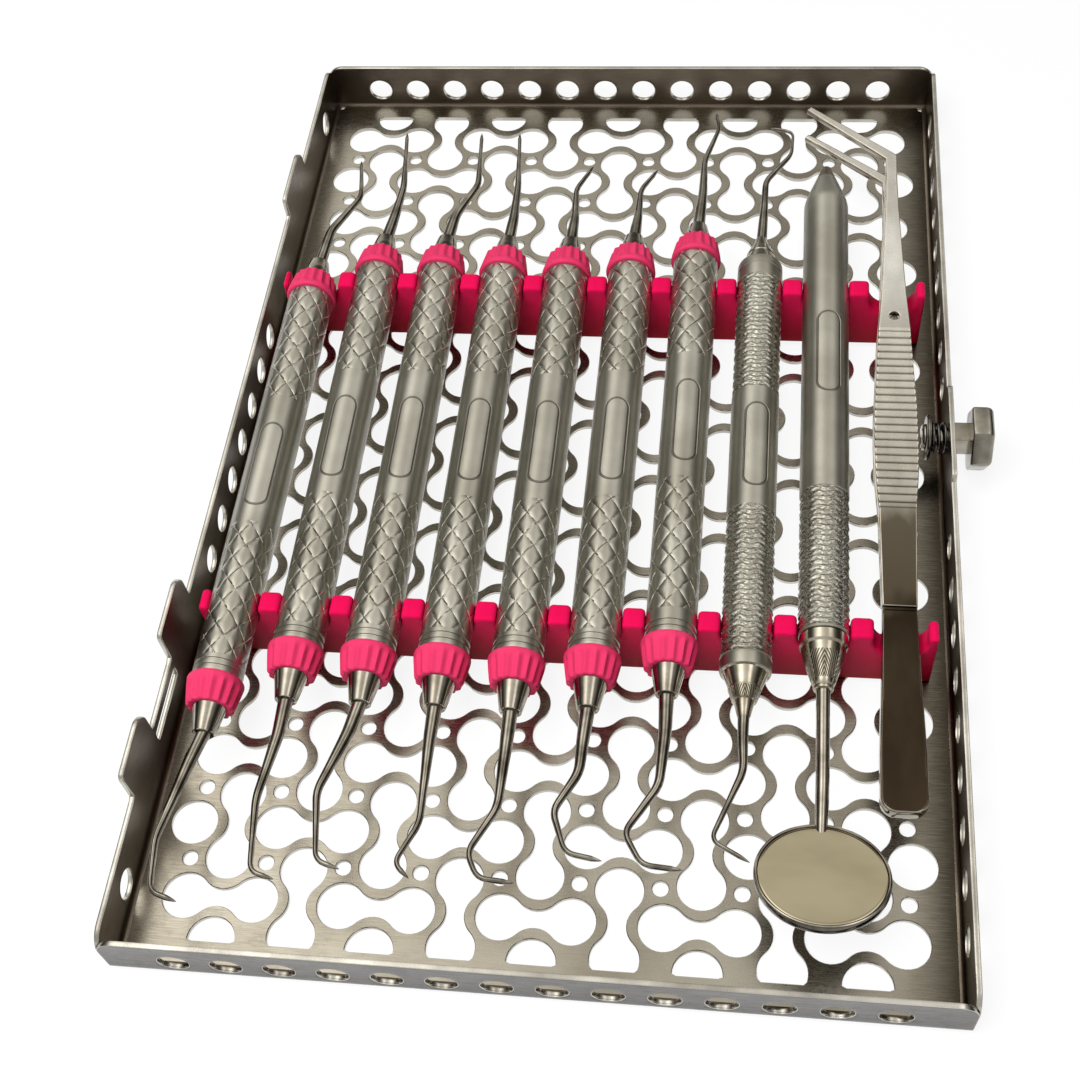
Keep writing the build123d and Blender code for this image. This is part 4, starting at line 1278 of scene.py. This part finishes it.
def arm_place(tilt, origin, upper):
    """Lift the map to its tilted plane. The top face of the upper arm sinks by a
    wave over the grooves. The lower arm's butt is twice as thick, with a low
    ridge of weld across it, which is a bell curve added to its height."""
    heading = np.array([0, math.cos(tilt), math.sin(tilt)])
    upwards = np.array([0, -math.sin(tilt), math.cos(tilt)])
    first = FIRST_GROOVE_Y - ROOT_Y - GROOVE_PITCH / 2
    last = first + GROOVES * GROOVE_PITCH

    def place(u, v, depth):
        near_top = np.clip(1 - depth / 0.6, 0, 1)
        height = STRIP - depth
        if upper:
            inside = np.clip((v - first) / 0.4, 0, 1) * np.clip((last - v) / 0.4, 0, 1)
            wave = 0.5 - 0.5 * np.cos(2 * np.pi * (v - first) / GROOVE_PITCH)
            height = height - 0.3 * near_top * inside * (1 - wave) ** 0.6
        else:
            height = height * (1 + np.clip(-v / 0.25, 0, 1))
            height = height + WELD_HEIGHT * np.exp(-((v - WELD_PLACE) / 0.35) ** 2) * near_top
        flat = np.outer(u, [1.0, 0, 0]) + np.outer(v, heading)
        return np.array(origin) + flat + np.outer(height, upwards)

    return place

# %% Arms and pin
LOWER_TILT, UPPER_TILT = math.radians(-0.548), math.radians(2.357)
ARM_REACH = 121.0
lower_place = arm_place(LOWER_TILT, (ARM_X, ROOT_Y, 10.403), False)
upper_place = arm_place(UPPER_TILT, (ARM_X, -36.9876, 11.7028), True)
for side, body, start, corner, step, place in (
        ("lower", "tweezers", BUTT_Y - ROOT_Y, 2.6, 0.42, lower_place),
        ("upper", "tweezer_spring_arm", 0.0, 0.0, GROOVE_PITCH / 8, upper_place)):
    arm = cut_sheet(f"tweezers_{side}_arm", arm_depth(start, corner, side == "upper"),
                    (-17.6, 4.0, start, ARM_REACH), step, STRIP, 0.22, place,
                    [tweezer_steel, tweezer_steel, bright_steel], 2, 40)
    settle(arm, body, "tweezer_steel", f"tweezer_{side}_arm")

pin_run = PIN_Y - ROOT_Y
pin_foot = (ARM_X, ROOT_Y + pin_run * math.cos(LOWER_TILT), 11.703 + pin_run * math.sin(LOWER_TILT))
pin_profile = [(-0.5, 0.6), (0.0, 0.7), (3.7, 0.7), (3.9, 0.6), (4.0, 0.4)]
turn_piece("tweezers_pin", pin_profile, pin_foot, [shaded_bright_steel], "tweezers", "tweezer_steel",
           ["tweezer_guide_pin"], 1.0, heading=(0, 0, 1), up=(0, 1, 0), sides=24)

# %% [markdown]
# ## Spring latch
# A shaft with a round head passes through a washer, a coil spring and the
# right wall. Outside, it ends in a square neck and a hexagonal knob. Pulling
# the knob outwards squeezes the spring between the washer and the wall. The
# spring is a circle carried along a helix.

# %% Latch
LATCH_AXIS = np.array([0.0, LATCH_Y, LATCH_Z])


def outline_rows(places, outline, scales):
    """Rows of one outline, shaped (points, 2) in Y and Z, at places along X."""
    rows = np.zeros((len(places), len(outline), 3))
    rows[:, :, 0] = np.asarray(places)[:, None]
    rows[:, :, 1:] = LATCH_AXIS[1:] + outline[None] * np.asarray(scales)[:, None, None]
    return rows


def polygon_with_round_corners(corners, reach, radius, turn=0.0):
    """A regular outline whose corners reach out to reach: each corner is an arc
    of the radius, and its centre lies on the line from the middle to the corner."""
    angles = turn + 2 * np.pi * np.arange(corners) / corners
    half = np.pi / corners
    inner = reach - radius / math.cos(half)
    arc = angles[:, None] + np.linspace(-half, half, 5)
    y = inner * np.cos(angles)[:, None] + radius * np.cos(arc)
    z = inner * np.sin(angles)[:, None] + radius * np.sin(arc)
    return np.stack([y.ravel(), z.ravel()], 1)


rod_profile = [(62.6, 1.6), (62.65, 2.0), (62.8, 2.3), (63.05, 2.45), (63.2, 2.5), (63.3, 2.5), (63.4, 2.4),
               (63.4, 1.62), (68.3, 1.6), (68.5, 1.4)]
rod = turn_piece("latch_rod", rod_profile, LATCH_AXIS, [bright_steel], None, None, longest=1.0,
                 heading=(1, 0, 0), sides=40)
square = polygon_with_round_corners(4, 3.11, 0.45, math.pi / 4)
neck = skin("latch_neck", outline_rows([68.4, 68.45, 71.5], square, [0.93, 1, 1]), [bright_steel])
settle(join("latch_shaft_turned", [rod, neck]), "latch_turner", "bright_steel", "latch_shaft")

washer_profile = [(63.4, 1.78), (63.4, 3.8), (63.5, 4.1), (63.7, 4.22), (63.9, 4.25), (64.1, 4.2),
                  (64.25, 4.0), (64.3, 3.7), (64.3, 1.78)]
turn_piece("latch_washer_turned", washer_profile, LATCH_AXIS, [shaded_bright_steel], "latch_slider",
           "bright_steel", ["latch_washer"], 0.8, heading=(1, 0, 0), sides=64)

hexagon = polygon_with_round_corners(6, 6.3, 0.8)
knob_profile = [(71.4, 0.9), (71.42, 0.94), (71.55, 0.98), (71.8, 1.0), (74.0, 1.0), (74.6, 0.98),
                (75.0, 0.93), (75.22, 0.86), (75.3, 0.78)]
knob_places, knob_scales = zip(*knob_profile)
knob = skin("latch_knob_hex", outline_rows(knob_places, hexagon, knob_scales), [knob_steel],
            None, knob_places, 30)
settle(knob, "latch_turner", "bright_steel", "latch_knob")

# %% Latch spring
COIL_TURNS, COIL_RADIUS, WIRE_RADIUS, COIL_START, COIL_END = 3, 2.7, 0.3, 64.6, 67.2


def coil_line(count):
    """A helix whose pitch closes up at both ends, as a ground spring's does:
    the climb is the share of the run less 0.6 of one sine wave over 2 pi."""
    t = np.linspace(0, 1, count)
    climb = t - 0.6 * np.sin(2 * np.pi * t) / (2 * np.pi)
    angle = 2 * np.pi * COIL_TURNS * t
    circle = np.stack([np.zeros(count), COIL_RADIUS * np.cos(angle), COIL_RADIUS * np.sin(angle)], 1)
    return circle + LATCH_AXIS + np.outer(COIL_START + (COIL_END - COIL_START) * climb, [1, 0, 0])


coil = coil_line(150)
outward = one_long((coil - LATCH_AXIS) * [0, 1, 1])[:, None]
coil_rise = np.cross(outward, one_long(np.gradient(coil, axis=0))[:, None])
wire_across, wire_rise = circle_of(np.full(len(coil), WIRE_RADIUS), 12)
coil_rows = coil[:, None] + wire_across[:, :, None] * outward + wire_rise[:, :, None] * coil_rise
spring = skin("latch_spring_coil", coil_rows, [spring_wire], None, None, 60)
settle(spring, "tray", "spring_steel", "latch_spring")
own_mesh(spring)

# %% [markdown]
# ## Table, light and camera
# The object stands on a plain white table. One large soft lamp overhead gives
# nearly all the light, and a faint even light fills the shadows. Metal needs
# something to mirror. A picture of a room could be wrapped round the world,
# but a few ramps are enough: reflected rays see a room that is bright overhead
# and dark low down, with two light panels from side to side, a warm window at
# one end and a pale wall at the other. The camera sees white. The table, the
# lamp and the camera are placed in metres.

# %% Table
TABLE_HALF, TABLE_DROP, TABLE_GLOW = 1.6, 0.00005, 0.88
table_mesh = bpy.data.meshes.new("table_top")
edge = np.linspace(-TABLE_HALF, TABLE_HALF, 5)
grid_x, grid_y = np.meshgrid(edge, edge, indexing="ij")
table_points = np.stack([grid_x.ravel(), grid_y.ravel(), np.full(25, -TABLE_DROP)], 1)
cell = np.arange(20)[np.arange(20) % 5 < 4]
table_faces = np.stack([cell, cell + 5, cell + 6, cell + 1], 1)
table_mesh.from_pydata(table_points.tolist(), [], table_faces.tolist())
table_top = bpy.data.objects.new("table_top", table_mesh)
bpy.context.scene.collection.objects.link(table_top)
table_white = Finish("table_white", (0.9, 0.9, 0.9, 1.0), 0.0, 0.9)
table_white.set_shader({"Specular IOR Level": 0.0})
rays = table_white.add("LightPath").outputs
seen = table_white.math("ADD", rays["Is Camera Ray"], rays["Is Glossy Ray"], clamp=True)
blend = table_white.mix_shaders(table_white.math("MULTIPLY", seen, TABLE_GLOW),
                                table_white.shader.outputs[0], table_white.add("Emission").outputs[0])
table_white.links.new(blend, table_white.nodes["Material Output"].inputs["Surface"])
table_mesh.materials.append(table_white.material)
table_top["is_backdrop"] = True
print("table:", 2 * TABLE_HALF, "m across")

# %% World light
world = bpy.data.worlds.new("soft_room")
bpy.context.scene.world = world
room = Network(world)


def light_ramp(direction, stops):
    """Brightness for one part of a direction, from a short list of places."""
    node = room.add("ValToRGB")
    ramp = node.color_ramp
    ramp.elements[0].position, ramp.elements[1].position = stops[0][0], stops[-1][0]
    for position, _ in stops[1:-1]:
        ramp.elements.new(position)
    for element, (_, value) in zip(ramp.elements, stops):
        element.color = (value, value * 0.985, value * 0.96, 1.0)
    return room.fill(node, direction)


def background(color):
    """The light that one kind of ray sees, from its colour."""
    return room.fill(room.add("Background"), color)


faint_light = room.nodes["Background"]
faint_light.inputs["Strength"].default_value = 0.55
window_tone, back_tone = (0.8, 0.77, 0.7, 1.0), (0.72, 0.71, 0.69, 1.0)
sideways, lengthwise, height = room.axes(room.add("TexCoord").outputs["Generated"])
overhead = light_ramp(height, [
    (0.0, 0.28), (0.3, 0.13), (0.46, 0.3), (0.58, 0.78), (0.7, 1.0), (0.84, 1.4), (1.0, 1.5)])
panels = light_ramp(room.math("MULTIPLY_ADD", sideways, 0.5, 0.5), [
    (0.0, 0.3), (0.14, 0.4), (0.24, 1.5), (0.31, 2.0), (0.37, 1.6), (0.43, 0.85), (0.55, 0.6), (0.63, 0.65),
    (0.69, 1.4), (0.75, 1.4), (0.81, 0.4), (1.0, 0.25)])
window = light_ramp(lengthwise, [(0.79, 0.0), (0.84, 1.0), (0.895, 1.0), (0.925, 0.0)])
back_wall = light_ramp(room.math("MULTIPLY", lengthwise, -1.0), [(0.2, 0.0), (0.6, 1.0)])
seen_in_metal = room.mix(1.0, overhead, panels, "MULTIPLY")
seen_in_metal = room.mix(window, seen_in_metal, window_tone)
seen_in_metal = room.mix(back_wall, seen_in_metal, back_tone)
rays = room.add("LightPath").outputs
light = room.mix_shaders(rays["Is Glossy Ray"], faint_light.outputs[0], background(seen_in_metal))
seen_straight = room.math("ADD", rays["Is Camera Ray"], rays["Is Transmission Ray"])
light = room.mix_shaders(seen_straight, light, background((1.0, 1.0, 1.0, 1.0)))
room.links.new(light, room.nodes["World Output"].inputs["Surface"])
print("world light:", len(room.nodes), "nodes")

# %% Lamp and camera
def stand(name, data, place, turns):
    """Put a lamp or a camera in the scene, turned by three angles in degrees."""
    thing = bpy.data.objects.new(name, data)
    thing.location = place
    thing.rotation_euler = [math.radians(turn) for turn in turns]
    bpy.context.scene.collection.objects.link(thing)
    print(name, "stands at", place)
    return thing


lamp_data = bpy.data.lights.new("soft_lamp", "AREA")
lamp_data.shape, lamp_data.size, lamp_data.energy = "SQUARE", 0.5, 8.0
lamp = stand("soft_lamp", lamp_data, (-0.15, -0.2, 0.65), (17.1, -12.4, 0))
lamp.visible_glossy = False

camera_data = bpy.data.cameras.new("viewpoint")
camera_data.lens, camera_data.sensor_width = 51.546, 36.0
camera_data.shift_y, camera_data.clip_start = 0.0556, 0.01
camera = stand("viewpoint", camera_data, (0.02947, -0.18276, 0.23771), (33.007, 4.637, 5.936))
bpy.context.scene.camera = camera
bpy.context.scene.view_settings.view_transform = "Standard"

# %% [markdown]
# ## Size
# The pieces must fill the same box as the frame, so both boxes are printed
# and kept side by side.

# %% Sizes
visual_box = [list(corner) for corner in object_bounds()]
print("visual box in millimetres:", [[round(v / MM, 2) for v in corner] for corner in visual_box])
